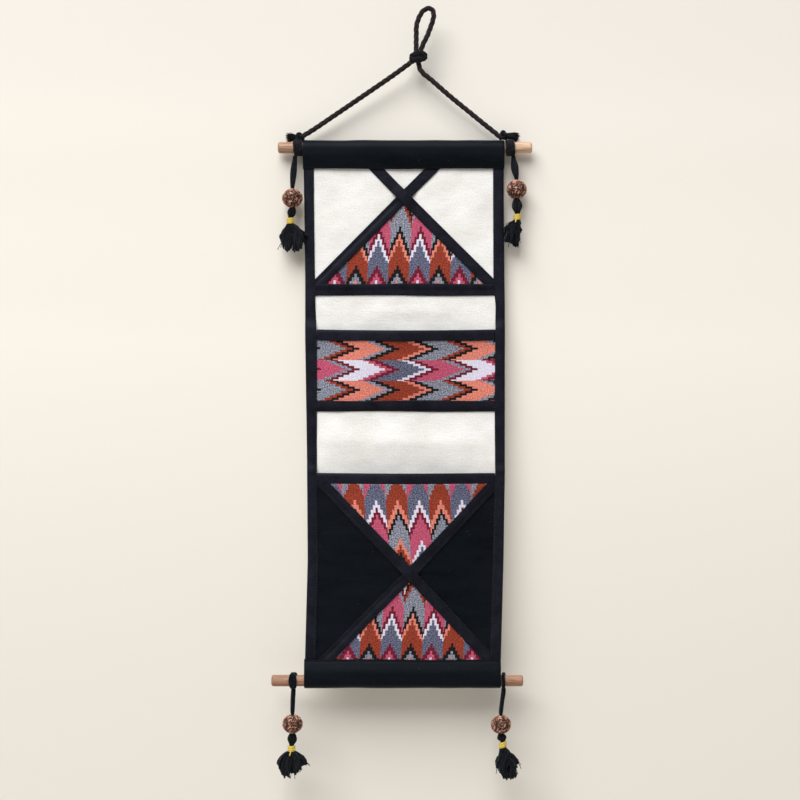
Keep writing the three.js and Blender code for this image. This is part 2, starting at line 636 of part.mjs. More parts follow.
/** A hitch: the cord's turns round the rod, the lump where it is tied and its frayed end. */
function hitch(row) {
  const [x, z] = row.lump;
  const [endX, endZ] = row.frayedTo;
  const turns = row.wraps.map((at) => turnRoundRod(at, TOP_ROD.z, WRAP_HALF_WIDTH));
  const tied = lump(new THREE.Vector3(x, 0, z), new THREE.Vector3().setScalar(HITCH_LUMP));
  const middle = new THREE.Vector3(lerp(x, endX, BUNDLE.share), 0, lerp(z, endZ, BUNDLE.share) - BUNDLE.drop);
  const size = new THREE.Vector3(Math.abs(endX - x) * BUNDLE.length, BUNDLE.halfDepth, BUNDLE.halfHeight);
  return joined([tied, ...turns, lump(middle, size), ...frays(row, middle)]);
}

/** Heights and radii of a hank down its length, from the skirt's hidden crown up to the top of the strip. */
function hankStations(row) {
  const [beadX, beadZ] = row.bead;
  const [wrapX, wrapZ] = row.wrap;
  const [stripX, stripZ] = row.strip;
  const top = row.loop > 0 ? stripZ - ROD_RADIUS - GAP - WRAP_THICK : stripZ;
  const beadTop = beadZ + BEAD.halfHeight;
  const beadFoot = beadZ - BEAD.halfHeight;
  const stripMiddle = (beadTop + top) / 2;
  const wrapHalf = THREAD_WRAP.height / 2;
  return [
    { x: wrapX, z: wrapZ - CROWN.end, radius: YARN.end },
    { x: wrapX, z: wrapZ - CROWN.foot, radius: YARN.head },
    { x: wrapX, z: wrapZ - CROWN.drop, radius: YARN.crown },
    { x: wrapX, z: wrapZ - wrapHalf - YARN_EASE.neck, radius: YARN.neck },
    { x: wrapX, z: wrapZ + wrapHalf + YARN_EASE.neck, radius: YARN.neck },
    { x: (wrapX + beadX) / 2, z: (wrapZ + wrapHalf + beadFoot) / 2, radius: YARN.head },
    { x: beadX, z: beadFoot - YARN_EASE.foot, radius: YARN.strip },
    { x: beadX, z: beadFoot, radius: YARN.core },
    { x: beadX, z: beadTop, radius: YARN.core },
    { x: beadX, z: beadTop + YARN_EASE.bead, radius: YARN.strip },
    { x: (beadX + stripX) / 2, z: stripMiddle, radius: row.bulge },
    { x: stripX, z: top - YARN_EASE.top, radius: YARN.strip },
    { x: stripX, z: top, radius: YARN.core },
  ];
}

/** Forward place of a tassel at a height: at the rod's middle above, clear of the wall from the bead down. */
function tasselY(row, z) {
  return TASSEL_Y * smoothstep(row.strip[1] - z, 0, row.strip[1] - row.bead[1] - BEAD.halfHeight);
}

/** Locks of the skirt, spread evenly from the crown to an uneven round hem. */
function skirtLocks(row, seed) {
  const [wrapX, wrapZ] = row.wrap;
  const [tipX, tipZ] = row.tip;
  const crownZ = wrapZ - CROWN.drop;
  return Array.from({ length: SKIRT_STRANDS }, (_, i) => {
    const share = Math.sqrt((i + 0.5) / SKIRT_STRANDS);
    const angle = i * GOLDEN_ANGLE + seed;
    const out = new THREE.Vector3(share * Math.cos(angle), share * Math.sin(angle), 0);
    const skirt = new THREE.Vector3(row.width, row.depth, 0).multiply(out);
    const fall = (crownZ - tipZ) * (1 - HEM.dome * share ** 2 + HEM.uneven * uneven(i + 31 * seed));
    const at = (lean, below) => new THREE.Vector3(lerp(wrapX, tipX, lean), TASSEL_Y, crownZ - below);
    const root = at(0, 1).addScaledVector(out, SKIRT.root);
    const bend = at(SKIRT.bendLean, SKIRT.bendFall * fall).addScaledVector(skirt, SKIRT.bendOut);
    const tip = at(SKIRT.tipLean, fall).addScaledVector(skirt, 0.5);
    return lock(root, bend, tip);
  });
}

/** A hank of yarn: strip, core through the bead, head, neck and skirt, with its loop where it has one. */
function hank(row, seed) {
  const stations = hankStations(row);
  const body = sweep(round(YARN_SIDES, () => 1), stations.length - 1, (a, b, step) => {
    const { x, z, radius } = stations[step];
    return new THREE.Vector3(x + a * radius, tasselY(row, z) + b * radius * YARN_FLAT, z);
  });
  const loops = row.loop > 0 ? [turnRoundRod(row.strip[0], FOOT_ROD.z, row.loop)] : [];
  return joined([body, ...loops, ...skirtLocks(row, seed)]);
}

/** A gnarled seed bead with its bore, ribbed from pole to pole and pitted between the ribs. */
function bead(row) {
  const [x, z] = row.bead;
  const rim = Math.asin(BEAD.bore / BEAD.radius);
  const profile = Array.from({ length: BEAD_RINGS + 1 }, (_, i) => {
    const angle = lerp(rim, Math.PI - rim, i / BEAD_RINGS);
    return new THREE.Vector2(BEAD.radius * Math.sin(angle), -BEAD.halfHeight * Math.cos(angle));
  });
  const ring = new THREE.LatheGeometry([...profile, profile[0].clone()], BEAD_SIDES);
  return moved(ring, (a, height, b) => {
    const across = Math.hypot(a, b);
    const angle = Math.atan2(b, a);
    const outer = smoothstep(across, BEAD.bore * 1.2, BEAD.radius * 0.6);
    const round = Math.sin(2 * BEAD.ridges * angle + BEAD_KNOBS.twist * height);
    const knobs = round * Math.cos(BEAD_KNOBS.rise * height + BEAD_KNOBS.turn * angle);
    const size = 1 + outer * BEAD.roughness * (0.5 * Math.cos(BEAD.ridges * angle) + knobs);
    return new THREE.Vector3(x + a * size, TASSEL_Y - b * size, z + height);
  });
}

/** Turns of yellow thread wound round the neck of a tassel. */
function threadWrap(row) {
  const [x, z] = row.wrap;
  const pitch = THREAD_WRAP.height / THREAD_WRAP.turns;
  const outside = Array.from({ length: 2 * THREAD_WRAP.turns + 1 }, (_, i) => {
    const radius = i % 2 === 0 ? THREAD_WRAP.outer - THREAD_WRAP.groove : THREAD_WRAP.outer;
    return new THREE.Vector2(radius, (i - THREAD_WRAP.turns) * pitch / 2);
  });
  const half = THREAD_WRAP.height / 2;
  const inside = [new THREE.Vector2(THREAD_WRAP.inner, half), new THREE.Vector2(THREAD_WRAP.inner, -half)];
  const ring = new THREE.LatheGeometry([...outside, ...inside, outside[0].clone()], THREAD_WRAP.sides);
  return moved(ring, (a, height, b) => new THREE.Vector3(x + a, TASSEL_Y - b, z + height));
}

// The whole hanging

const onPanel = () => 0;
const onLowerPocket = (x, down) => pocketStand(LOWER_POCKET, x, down);
const crossing = POCKET_CROSS.middle[1];
const pocketTop = LOWER_POCKET.mouth + LOWER_POCKET.hem + LOWER_POCKET.sag;
const topWindow = {
  left: innerLeft(CROSS_BAND.top),
  rightAbove: innerRight(HEADING_SEAM),
  rightBelow: innerRight(CROSS_BAND.top),
  top: HEADING_SEAM + SEAM_WAVE,
  foot: CROSS_BAND.top - SEAM_WAVE,
};
const pocketWindow = {
  left: innerLeft(crossing),
  rightAbove: innerRight(pocketTop),
  rightBelow: innerRight(FOOT_SEAM),
  top: pocketTop,
  foot: FOOT_SEAM - SEAM_WAVE,
};
const footBandHeights = [
  UPPER_POCKET.foot - FOOT_BAND.height,
  UPPER_POCKET.sewn + FOOT_BAND.off,
  UPPER_POCKET.foot - FOOT_BAND.flat,
  UPPER_POCKET.foot,
];
const topPatch = patch(TOP_CROSS, [TOP_CROSS.toOther, TOP_CROSS.to], CROSS_BAND.top - PATCH_EDGE,
  TOP_PATCH_GRID, onPanel);
const pocketPatchUpper = patch(POCKET_CROSS, [POCKET_CROSS.from, POCKET_CROSS.fromOther], pocketTop + GAP,
  POCKET_UPPER_GRID, onLowerPocket);
const pocketPatchLower = patch(POCKET_CROSS, [POCKET_CROSS.toOther, POCKET_CROSS.to], FOOT_SEAM - PATCH_EDGE,
  POCKET_LOWER_GRID, onLowerPocket);

const cloth = new THREE.Group();
cloth.position.set(MIDDLE_X, 0, FOLD_Z);
cloth.add(
  piece('back_panel', backPanel(), WHITE_COTTON),
  piece('binding_left', sideBinding(-1), BLACK_COTTON),
  piece('binding_right', sideBinding(1), BLACK_COTTON),
  piece('cross_band', flatBand([CROSS_BAND.top, CROSS_BAND.foot], () => LAYER), BLACK_COTTON),
  piece('patch_top', topPatch, FLAME_CLOTH),
  ...crossedStraps('strap_top', TOP_CROSS, topWindow, onPanel, false),
  piece('pocket_upper_front', pocketFront(UPPER_POCKET), FLAME_CLOTH),
  piece('pocket_upper_mouth', mouthBinding(UPPER_POCKET), BLACK_COTTON),
  piece('pocket_upper_foot', flatBand(footBandHeights, footBandStand), BLACK_COTTON),
  piece('pocket_lower_front', pocketFront(LOWER_POCKET), BLACK_COTTON),
  piece('pocket_lower_mouth', mouthBinding(LOWER_POCKET), BLACK_COTTON),
  piece('patch_pocket_upper', pocketPatchUpper, FLAME_CLOTH),
  piece('patch_pocket_lower', pocketPatchLower, FLAME_CLOTH),
  ...crossedStraps('strap_pocket', POCKET_CROSS, pocketWindow, onLowerPocket, true),
);

const leaf = CLOTH / 2 + GAP + CASING / 2;
const headingReach = TOP_ROD.z - FOLD_Z + HEADING_SEAM;
const heading = piece('heading_casing', casing(HEADING, headingReach, 1, leaf, leaf), BLACK_COTTON);
heading.position.set(MIDDLE_X, 0, TOP_ROD.z);
const footReach = FOLD_Z - FOOT_SEAM - FOOT_ROD.z;
const footCasing = piece('foot_casing', casing(FOOT, footReach, -1, leaf + LAYER, leaf), BLACK_COTTON);
footCasing.position.set(MIDDLE_X, 0, FOOT_ROD.z);

const hanger = new THREE.Group();
hanger.add(
  piece('cord_left', cord(LEFT_LEG, 0), BLACK_YARN),
  piece('cord_right', cord(RIGHT_LEG, 0), BLACK_YARN),
  piece('cord_loop', cord(LOOP, LOOP_LEAN), BLACK_YARN),
  piece('cord_knot', knot(), BLACK_YARN),
  ...HITCHES.map((row) => piece(row.name, hitch(row), BLACK_YARN)),
);

const tassels = new THREE.Group();
TASSELS.forEach((row, i) => {
  tassels.add(
    piece('tassel_' + row.name, hank(row, i + 1), BLACK_YARN),
    piece('bead_' + row.name, bead(row), SEED),
    piece('wrap_' + row.name, threadWrap(row), YELLOW_THREAD),
  );
});

const group = new THREE.Group();
group.add(
  piece('rod_top', rod(TOP_ROD), PALE_WOOD),
  piece('rod_foot', rod(FOOT_ROD), PALE_WOOD),
  heading,
  footCasing,
  cloth,
  hanger,
  tassels,
);

export default group;
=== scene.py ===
# %% [markdown]
# # A pocket wall hanging
# The real one is sewn from black and white cotton and hand-woven flame cloth. Two wooden rods keep it
# straight, it hangs on a twisted cord, and it has four tassels. The imported solids give every place and
# size; this lesson works out finer surfaces on the same formulas with numpy, so nothing has to be fitted
# by eye.

# %% Load the solids
import math

import bpy
import numpy as np
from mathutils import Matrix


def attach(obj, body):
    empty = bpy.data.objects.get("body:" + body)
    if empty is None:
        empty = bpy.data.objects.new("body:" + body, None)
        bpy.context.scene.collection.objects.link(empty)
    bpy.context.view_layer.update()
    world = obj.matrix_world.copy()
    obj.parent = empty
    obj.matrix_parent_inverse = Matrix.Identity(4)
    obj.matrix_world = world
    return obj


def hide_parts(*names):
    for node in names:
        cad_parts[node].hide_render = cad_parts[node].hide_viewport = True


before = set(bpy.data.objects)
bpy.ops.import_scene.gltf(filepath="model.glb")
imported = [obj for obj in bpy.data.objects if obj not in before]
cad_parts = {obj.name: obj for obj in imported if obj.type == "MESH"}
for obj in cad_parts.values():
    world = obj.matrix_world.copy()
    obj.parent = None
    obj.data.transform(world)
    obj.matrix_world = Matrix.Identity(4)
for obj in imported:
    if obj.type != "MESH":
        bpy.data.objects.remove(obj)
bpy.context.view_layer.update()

MM = 0.001
rng = np.random.default_rng(27)

# %% [markdown]
# ## Camera
# The photograph is taken square on from far off, so the hanging hardly shows any perspective. One
# millimetre of the wall is one pixel of the picture. A long lens from 1.7 m gives that frame.

# %% Camera
VIEW_MIDDLE = (-29.5, -388.8)  # across and up, at the picture's middle
VIEW_SIDE = 800.0  # length on the wall that the picture's side covers
VIEW_DISTANCE = 1700.0
SENSOR = 36.0

camera_data = bpy.data.cameras.new("camera")
camera_data.sensor_width = SENSOR
camera_data.lens = SENSOR * VIEW_DISTANCE / VIEW_SIDE
camera = bpy.data.objects.new("camera", camera_data)
camera.location = (VIEW_MIDDLE[0] * MM, -VIEW_DISTANCE * MM, VIEW_MIDDLE[1] * MM)
camera.rotation_euler = (math.radians(90), 0, 0)
bpy.context.scene.collection.objects.link(camera)
bpy.context.scene.camera = camera
bpy.context.scene.view_settings.view_transform = "Standard"
print("lens in mm:", round(camera_data.lens, 1))

# %% [markdown]
# ## From arrays to a mesh
# Every shape below is an array of points in millimetres, a list of face arrays and, for each corner of
# each face, its place on the cut cloth or along the thread in millimetres. One function puts them into a
# mesh. The map is called "cut", and the materials read it by that name.

# %% Mesh maker
MAP = "cut"


def add_piece(name, parts, finish, replaces=()):
    """One object from parts (points, faces, coords), its points scaled from millimetres to metres."""
    points = np.concatenate([part[0] for part in parts])
    starts = np.cumsum([0] + [len(part[0]) for part in parts])
    faces = [face + start for part, start in zip(parts, starts) for face in part[1]]
    coords = np.concatenate([coord.reshape(-1, 2) for part in parts for coord in part[2]])
    corners = np.concatenate([face.ravel() for face in faces])
    sizes = np.concatenate([np.full(len(face), face.shape[1]) for face in faces])
    mesh = bpy.data.meshes.new(name)
    mesh.vertices.add(len(points))
    mesh.vertices.foreach_set("co", (points * MM).astype(np.float32).ravel())
    mesh.loops.add(len(corners))
    mesh.loops.foreach_set("vertex_index", corners.astype(np.int32))
    mesh.polygons.add(len(sizes))
    mesh.polygons.foreach_set("loop_start", (np.cumsum(sizes) - sizes).astype(np.int32))
    mesh.update(calc_edges=True)
    mesh.polygons.foreach_set("use_smooth", np.ones(len(sizes), dtype=bool))
    mesh.uv_layers.new(name=MAP).uv.foreach_set("vector", coords.astype(np.float32).ravel())
    mesh.materials.append(finish)
    mesh.validate()
    piece = bpy.data.objects.new(name, mesh)
    bpy.context.scene.collection.objects.link(piece)
    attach(piece, "root")
    if replaces:
        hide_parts(*replaces)
    print(name, "triangles:", int((sizes - 2).sum()))
    return piece


# %% [markdown]
# ## Building materials
# All materials are node graphs. A few small helpers keep them readable: one adds a node and links or sets
# its inputs, one turns a colour read off a screen into the linear colour that the shader wants, and the
# others stand for what is used again and again: a sum, a ramp, a mix, noise, relief.

# %% Node helpers
WHITE = (1, 1, 1, 1)


def new_finish(name, roughness, sheen=0.0, sheen_tint=WHITE, gloss=0.25):
    """A node material with its constants set on the shader's own sockets."""
    finish = bpy.data.materials.new(name)
    finish.use_nodes = True
    shader = finish.node_tree.nodes["Principled BSDF"]
    shader.inputs["Roughness"].default_value = roughness
    shader.inputs["Specular IOR Level"].default_value = gloss
    shader.inputs["Sheen Weight"].default_value = sheen
    shader.inputs["Sheen Roughness"].default_value = 0.3
    shader.inputs["Sheen Tint"].default_value = sheen_tint
    return finish, finish.node_tree, shader


def add(tree, kind, inputs=None, **settings):
    """A node; an input given as another node's output is linked, any other is set."""
    node = tree.nodes.new("ShaderNode" + kind)
    for key, value in settings.items():
        setattr(node, key, value)
    for key, value in (inputs or {}).items():
        if isinstance(value, bpy.types.NodeSocket):
            tree.links.new(value, node.inputs[key])
        else:
            node.inputs[key].default_value = value
    return node


def count(tree, operation, first, second=0.0):
    """The output of one sum."""
    return add(tree, "Math", {0: first, 1: second}, operation=operation).outputs[0]


def blend(tree, *terms):
    """The sum of (value, weight) terms."""
    weighed = [value if weight == 1 else count(tree, "MULTIPLY", value, weight) for value, weight in terms]
    total = weighed[0]
    for term in weighed[1:]:
        total = count(tree, "ADD", total, term)
    return total


def paint(red, green, blue, fourth=1.0):
    """Linear colour of a screen colour: each share to the power 2.4 after its offset, or a 13th when dark."""
    share = np.array([red, green, blue]) / 255
    linear = np.where(share > 0.04, ((share + 0.055) / 1.055) ** 2.4, share / 12.92)
    return (*map(float, linear), fourth)


def ramp(tree, factor, stops, interpolation="LINEAR"):
    """The colour and the fourth number of a ramp from (place, colour) stops."""
    node = add(tree, "ValToRGB", {"Fac": factor})
    node.color_ramp.interpolation = interpolation
    while len(node.color_ramp.elements) < len(stops):
        node.color_ramp.elements.new(1.0)
    for element, (place, colour) in zip(node.color_ramp.elements, stops):
        element.position = place
        element.color = colour
    return node.outputs


def mixed(tree, factor, first, second, blend_type="MIX"):
    """Two colours mixed by a factor."""
    inputs = {0: factor, 6: first, 7: second}
    return add(tree, "Mix", inputs, data_type="RGBA", blend_type=blend_type).outputs[2]


def on_map(tree, scale=(1, 1, 1), turn=0.0):
    """The piece's own map in millimetres, scaled and turned."""
    spot = add(tree, "UVMap", uv_map=MAP).outputs[0]
    return add(tree, "Mapping", {"Vector": spot, "Scale": scale, "Rotation": (0, 0, turn)}).outputs[0]


def noise(tree, spot, scale, detail=3.0, roughness=0.6):
    """Soft noise of about one lump per 1 / scale."""
    inputs = {"Vector": spot, "Scale": scale, "Detail": detail, "Roughness": roughness}
    return add(tree, "TexNoise", inputs).outputs[0]


def coat(tree, shader, colour, height, depth):
    """Gives a shader its colour and its relief, depth in millimetres."""
    tree.links.new(colour, shader.inputs["Base Color"])
    relief_node = add(tree, "Bump", {"Height": height, "Distance": depth * MM, "Strength": 1.0})
    tree.links.new(relief_node.outputs[0], shader.inputs["Normal"])


# %% [markdown]
# ## Black yarn
# The cord and the tassels are soft black cotton yarn. It is matt, with a dusty sheen, and the single
# yarns that were twisted together show as slanted grooves. The cord has faded to a brownish charcoal.
# Where it is tied, in the knot and at the rod ends, it is painted darker; in the knot that darkening is
# painted shade between the tight turns.

# %% Black yarn
def black_yarn(name, deep, middle, dusty):
    """Slanted grooves are a sine of across plus along; noise greys a few fibres."""
    finish, tree, shader = new_finish(name, 0.95, 0.12, (0.8, 0.86, 1.0, 1), 0.08)
    fibres = noise(tree, on_map(tree, (1.6, 0.35, 1), 0.5), 1.2)
    dust = ramp(tree, fibres, [(0.39, deep), (0.55, middle), (0.7, dusty)])[0]
    spot = add(tree, "SeparateXYZ", {0: on_map(tree)}).outputs
    groove = count(tree, "SINE", blend(tree, (spot[0], 5.2), (spot[1], 3.1)))
    coat(tree, shader, dust, blend(tree, (groove, 1), (fibres, 1)), 0.18)
    return finish


YARN_BLACK = black_yarn("black_yarn", paint(2, 3, 6), paint(14, 16, 20), paint(38, 41, 48))
# painted darker than the faded cord: shade between the knot's tight turns, and the darker windings at the rod
# ends
TIED_BLACK = black_yarn("tied_cord", paint(15, 15, 18), paint(28, 27, 31), paint(54, 52, 57))
CORD_BLACK = black_yarn("faded_cord", paint(26, 21, 23), paint(45, 38, 39), paint(77, 68, 68))

# %% [markdown]
# ## Hanging cord
# A three-strand cord is tied to both ends of the top rod and knotted into a small loop at the top. The
# legs are drawn straight by the weight. A strand is a tube on a helix, so the cord's middle line comes
# first: a smooth curve through the route's points, then three strands laid round it.

# %% Lines
CURVE_STEPS = 24  # steps of a curve between two of its points


def step_lengths(line):
    """Length of each step of a line, or of several lines at once."""
    return np.linalg.norm(np.diff(line, axis=-2), axis=-1)


def run_length(line):
    """Length along a line up to each of its points."""
    return np.concatenate([[0], np.cumsum(step_lengths(line))])


def resample(line, spacing):
    """Points about spacing apart along a line, the same distance between each two."""
    length = run_length(line)
    even = np.linspace(0, length[-1], max(int(round(length[-1] / spacing)), 2) + 1)
    return np.stack([np.interp(even, length, column) for column in line.T], axis=1)


def meeting_slope(first, second, before, after):
    """Slope where two steps meet: each over its own gap, less both over both gaps."""
    return first / before - (first + second) / (before + after) + second / after


def smooth_line(points, spacing):
    """A curve through the points: cubics whose end slopes weigh the neighbours by root distance."""
    points = np.asarray(points, dtype=float)
    ends = np.vstack([2 * points[0] - points[1], points, 2 * points[-1] - points[-2]])
    step = np.diff(ends, axis=0)
    gap = np.sqrt(np.linalg.norm(step, axis=1))[:, None]
    before, middle, after = gap[:-2], gap[1:-1], gap[2:]
    out = middle * meeting_slope(step[:-2], step[1:-1], before, middle)
    into = middle * meeting_slope(step[1:-1], step[2:], middle, after)
    t = np.linspace(0, 1, CURVE_STEPS, endpoint=False)[:, None, None]
    first, last = ends[1:-2], ends[2:-1]
    cubic = (2 * t**3 - 3 * t**2 + 1) * first + (t**3 - 2 * t**2 + t) * out
    cubic = cubic + (3 * t**2 - 2 * t**3) * last + (t**3 - t**2) * into
    line = np.concatenate([cubic.transpose(1, 0, 2).reshape(-1, points.shape[1]), points[-1:]])
    return resample(line, spacing)


# %% Tubes
BACKWARD = np.array([0.0, 1.0, 0.0])
LENGTHWAYS = np.array([1.0, 0.0, 0.0])  # along the rods
UPWARD = np.array([0.0, 0.0, 1.0])
TUBE_SHIFT = 37.7  # how far each tube's map starts beyond the last one's


def unit(vectors):
    """Vectors scaled to length one."""
    return vectors / np.linalg.norm(vectors, axis=-1, keepdims=True)


def square_frame(lines, aside):
    """Two directions square to each line's run: run x aside, and run x that."""
    run = unit(np.gradient(lines, axis=-2))
    first = unit(np.cross(run, aside))
    return first, np.cross(run, first)


def tubes(lines, radii, sides, aside):
    """Tubes along lines (tubes x rings x 3): a ring is the line's point plus radius x (cos, sin)."""
    first, second = square_frame(lines, aside)
    angle = 2 * np.pi * np.arange(sides) / sides
    ring = first[:, :, None] * np.cos(angle)[:, None] + second[:, :, None] * np.sin(angle)[:, None]
    points = lines[:, :, None] + ring * radii[:, :, None, None]
    index = np.arange(points.size // 3).reshape(points.shape[:3])
    walls = np.stack([index, np.roll(index, -1, axis=2)], axis=-1)
    walls = np.concatenate([walls[:, :-1], walls[:, 1:, :, ::-1]], axis=-1)
    ends = np.concatenate([index[:, 0, ::-1], index[:, -1]])
    along = np.concatenate([np.zeros((len(lines), 1)), step_lengths(lines).cumsum(axis=1)], axis=1)
    along = along + TUBE_SHIFT * np.arange(len(lines))[:, None]
    around = 2 * np.pi * np.median(radii) / sides * np.arange(sides + 1)
    low, high = along[:, :-1, None], along[:, 1:, None]
    left, right = around[:-1], around[1:]
    coords = np.stack(np.broadcast_arrays(left, low, right, low, right, high, left, high), axis=-1)
    return points.reshape(-1, 3), [walls.reshape(-1, 4), ends], [coords, np.zeros((ends.size, 2))]


def tube(line, radius, sides, aside):
    """One tube of an even radius."""
    return tubes(line[None], np.full((1, len(line)), radius), sides, aside)


STRAND_OFF = 0.42  # from the cord's middle to a strand's, as a part of the cord's radius
STRAND_RADIUS = 0.65  # the strand's own, as a part of the cord's
STRAND_SIDES = 10


def rope(line, radius, lay, aside=BACKWARD):
    """Three strands; each one's middle turns once round the line in every lay."""
    first, second = square_frame(line, aside)
    turn = 2 * np.pi * run_length(line) / lay
    turn = turn + 2 * np.pi * np.arange(3)[:, None] / 3
    off = np.cos(turn)[..., None] * first + np.sin(turn)[..., None] * second
    strands = line + STRAND_OFF * radius * off
    return tubes(strands, np.full(strands.shape[:2], STRAND_RADIUS * radius), STRAND_SIDES, aside)


# %% Cord
CORD_RADIUS = 2.5
CORD_LAY = 19.0
CORD_STEP = 1.5
LEFT_LEG = [
    (-129.5, -126.6), (-117.5, -119.4), (-93, -102.9), (-62, -81.8), (-36, -63.9), (-18, -50.75), (-13, -47),
]
RIGHT_LEG = [
    (72.5, -127.4), (66.5, -122.4), (55, -113.2), (40.5, -101.4), (20, -84.6), (1.1, -68.1), (-6, -62.4),
    (-9.6, -57.6), (-10.7, -52.8), (-10.9, -48),
]
LOOP = [
    (-12.6, -44), (-13.2, -38), (-13.2, -24.5), (-12.9, -14.3), (-10.1, -5.6), (-6, 0.5), (-0.9, 2.8),
    (2.6, 1.5), (4.2, -3.1), (3.4, -9.2), (0.6, -17.4), (-2.5, -25.5), (-6.2, -32.7), (-8.6, -39.4),
    (-10.4, -44),
]
LOOP_LEAN = -1.0  # how far forward the loop's end lies


def cord(name, route, lean, node):
    """A cord on its route; the route's points are (across, up), its depth goes evenly to lean."""
    depth = np.linspace(0, lean, len(route))
    points = np.stack([[x for x, _ in route], depth, [z for _, z in route]], axis=1)
    line = smooth_line(points, CORD_STEP)
    piece = add_piece(name, [rope(line, CORD_RADIUS, CORD_LAY)], CORD_BLACK, [node])
    return piece, line


cord_left, left_line = cord("leg_left", LEFT_LEG, 0.0, "cord_left")
cord_right, right_line = cord("leg_right", RIGHT_LEG, 0.0, "cord_right")
cord_loop, loop_line = cord("loop", LOOP, LOOP_LEAN, "cord_loop")

# %% [markdown]
# ## Knot
# The two legs and the loop come together in one overhand knot. Pulled tight, it shows as two turns
# of the cord laid flat round the loop's legs, so it is a rope on a short helix about an upright axis.

# %% Knot
KNOT = {"x": -11.4, "y": -0.4, "z": -46.2, "half": (6.0, 3.5), "drop": 3.1, "tilt": 0.12, "rope": 3.3}
KNOT_START = 0.9  # angle behind the right side at which the turns start
KNOT_PINCH = 0.45  # how far apart the turns still are at the sides, as a part


def knot_line():
    """Two turns of an ellipse, the first above, the second below; they draw together at both sides."""
    angle = np.linspace(-KNOT_START, 4 * np.pi - KNOT_START, 80)
    across = KNOT["half"][0] * np.cos(angle)
    depth = KNOT["y"] - KNOT["half"][1] * np.sin(angle)
    pinch = KNOT_PINCH + (1 - KNOT_PINCH) * np.sin(angle) ** 2
    apart = KNOT["drop"] * np.cos(angle / 2 - np.pi / 4) * pinch
    return np.stack([KNOT["x"] + across, depth, KNOT["z"] + apart + KNOT["tilt"] * across], axis=1)


knot_parts = [rope(knot_line(), KNOT["rope"], CORD_LAY, UPWARD)]
# the knot's cord is painted darker, as shade between its tight turns
knot = add_piece("knot", knot_parts, TIED_BLACK, ["cord_knot"])

# %% [markdown]
# ## Hitches
# At each rod end the cord is wound round the rod, tied on top, and cut off so that its end frays into a
# small brush. The windings are a rope on a helix pressed flat against the rod, the tied lump is a small
# trefoil, and the brush is a few hundred thin threads that fan out from the lump.

# %% Windings
ROD_RADIUS = 5.6
TOP_ROD = {"from": -151.5, "to": 102.5, "z": -136.5}
WRAP_RADIUS = 7.2  # from the rod's middle to the middle of what is wound round it
WRAP_PRESS = 0.6  # how much flatter a winding is than the cord
WIND_START = 0.4  # angle past the top at which a winding starts
WIND_STEPS = 40  # points of one turn


def winding(reach, z, turns):
    """A helix round a rod: x goes evenly along the reach while the angle makes its turns."""
    t = np.linspace(0, 1, int(WIND_STEPS * turns))
    angle = 2 * np.pi * turns * t + WIND_START
    x = reach[0] + (reach[1] - reach[0]) * t
    return np.stack([x, -WRAP_RADIUS * np.sin(angle), z + WRAP_RADIUS * np.cos(angle)], axis=1)


def pressed(part, z):
    """The part with its distance from the rod's middle drawn towards the winding's radius."""
    points = part[0].copy()
    away = np.hypot(points[:, 1], points[:, 2] - z)
    size = (WRAP_RADIUS + (away - WRAP_RADIUS) * WRAP_PRESS) / away
    points[:, 1] *= size
    points[:, 2] = z + (points[:, 2] - z) * size
    return points, part[1], part[2]


# %% Frayed ends
THREAD_ASIDE = BACKWARD + 0.13 * LENGTHWAYS  # a little off straight back
FRAY = {"threads": 260, "radius": 0.3, "rings": 6, "sides": 3, "taper": 0.45, "ragged": (1.3, 0.5, 0.6)}
FRAY_STOPS = ((0.15, 2.4), (0.55, 4.0), (0.88, 4.4))  # root, bend, tip: share of the way, bundle's radius


def disc(number):
    """Points spread evenly over a disc of radius one, each turned by the golden angle from the last."""
    order = np.arange(number)
    angle = order * np.pi * (3 - math.sqrt(5))
    return np.sqrt((order + 0.5) / number)[:, None] * np.stack([np.cos(angle), np.sin(angle)], axis=1)


def curves(roots, bends, tips, t):
    """Quadratic curves: (1-t)^2 root + 2t(1-t) bend + t^2 tip."""
    return (1 - t) ** 2 * roots[:, None] + 2 * t * (1 - t) * bends[:, None] + t**2 * tips[:, None]


def brush(lump, tip):
    """Frayed threads from a lump to a ragged tip, thinner towards the tip."""
    spot = disc(FRAY["threads"])
    off = np.stack([0 * spot[:, 0], spot[:, 0], spot[:, 1]], axis=1)
    ragged = rng.normal(0, 1, off.shape) * FRAY["ragged"]
    start = np.array([lump[0], 0.0, lump[1]])
    end = np.array([tip[0], 0.0, tip[1]])
    roots, bends, tips = [start + (end - start) * share + off * radius for share, radius in FRAY_STOPS]
    t = np.linspace(0, 1, FRAY["rings"])[:, None]
    lines = curves(roots, bends, tips + ragged, t)
    radii = FRAY["radius"] * np.broadcast_to(1 - FRAY["taper"] * t[:, 0] ** 2, lines.shape[:2])
    return tubes(lines, radii, FRAY["sides"], THREAD_ASIDE)


# %% Hitches
HITCHES = {
    "left": {"wound": (-134.4, -128.2), "lump": (-130.0, -126.4), "tip": (-142.8, -126.2)},
    "right": {"wound": (77.3, 83.7), "lump": (74.0, -124.4), "tip": (89.4, -126.0)},
}
HITCH_TURNS = 2.5
WOUND_ROPE = (2.2, 22.0)  # radius and lay of the windings
LUMP_ROPE = (2.0, 14.0)  # of the lump
LUMP_HALF = (3.0, 2.6, 3.0)
LUMP_SPIN = 1.1
TREFOIL_REACH = 2.6  # about the reach of the plain formula


def trefoil(middle, half, spin):
    """(sin t + 2 sin 2t, sin 3t, cos t - 2 cos 2t), each scaled to a half size and spun in its plane."""
    t = np.linspace(0, 2 * np.pi, 90)
    across = (np.sin(t) + 2 * np.sin(2 * t)) / TREFOIL_REACH
    up = (np.cos(t) - 2 * np.cos(2 * t)) / TREFOIL_REACH
    x = across * math.cos(spin) - up * math.sin(spin)
    z = across * math.sin(spin) + up * math.cos(spin)
    return np.stack([x, np.sin(3 * t), z], axis=1) * half + middle


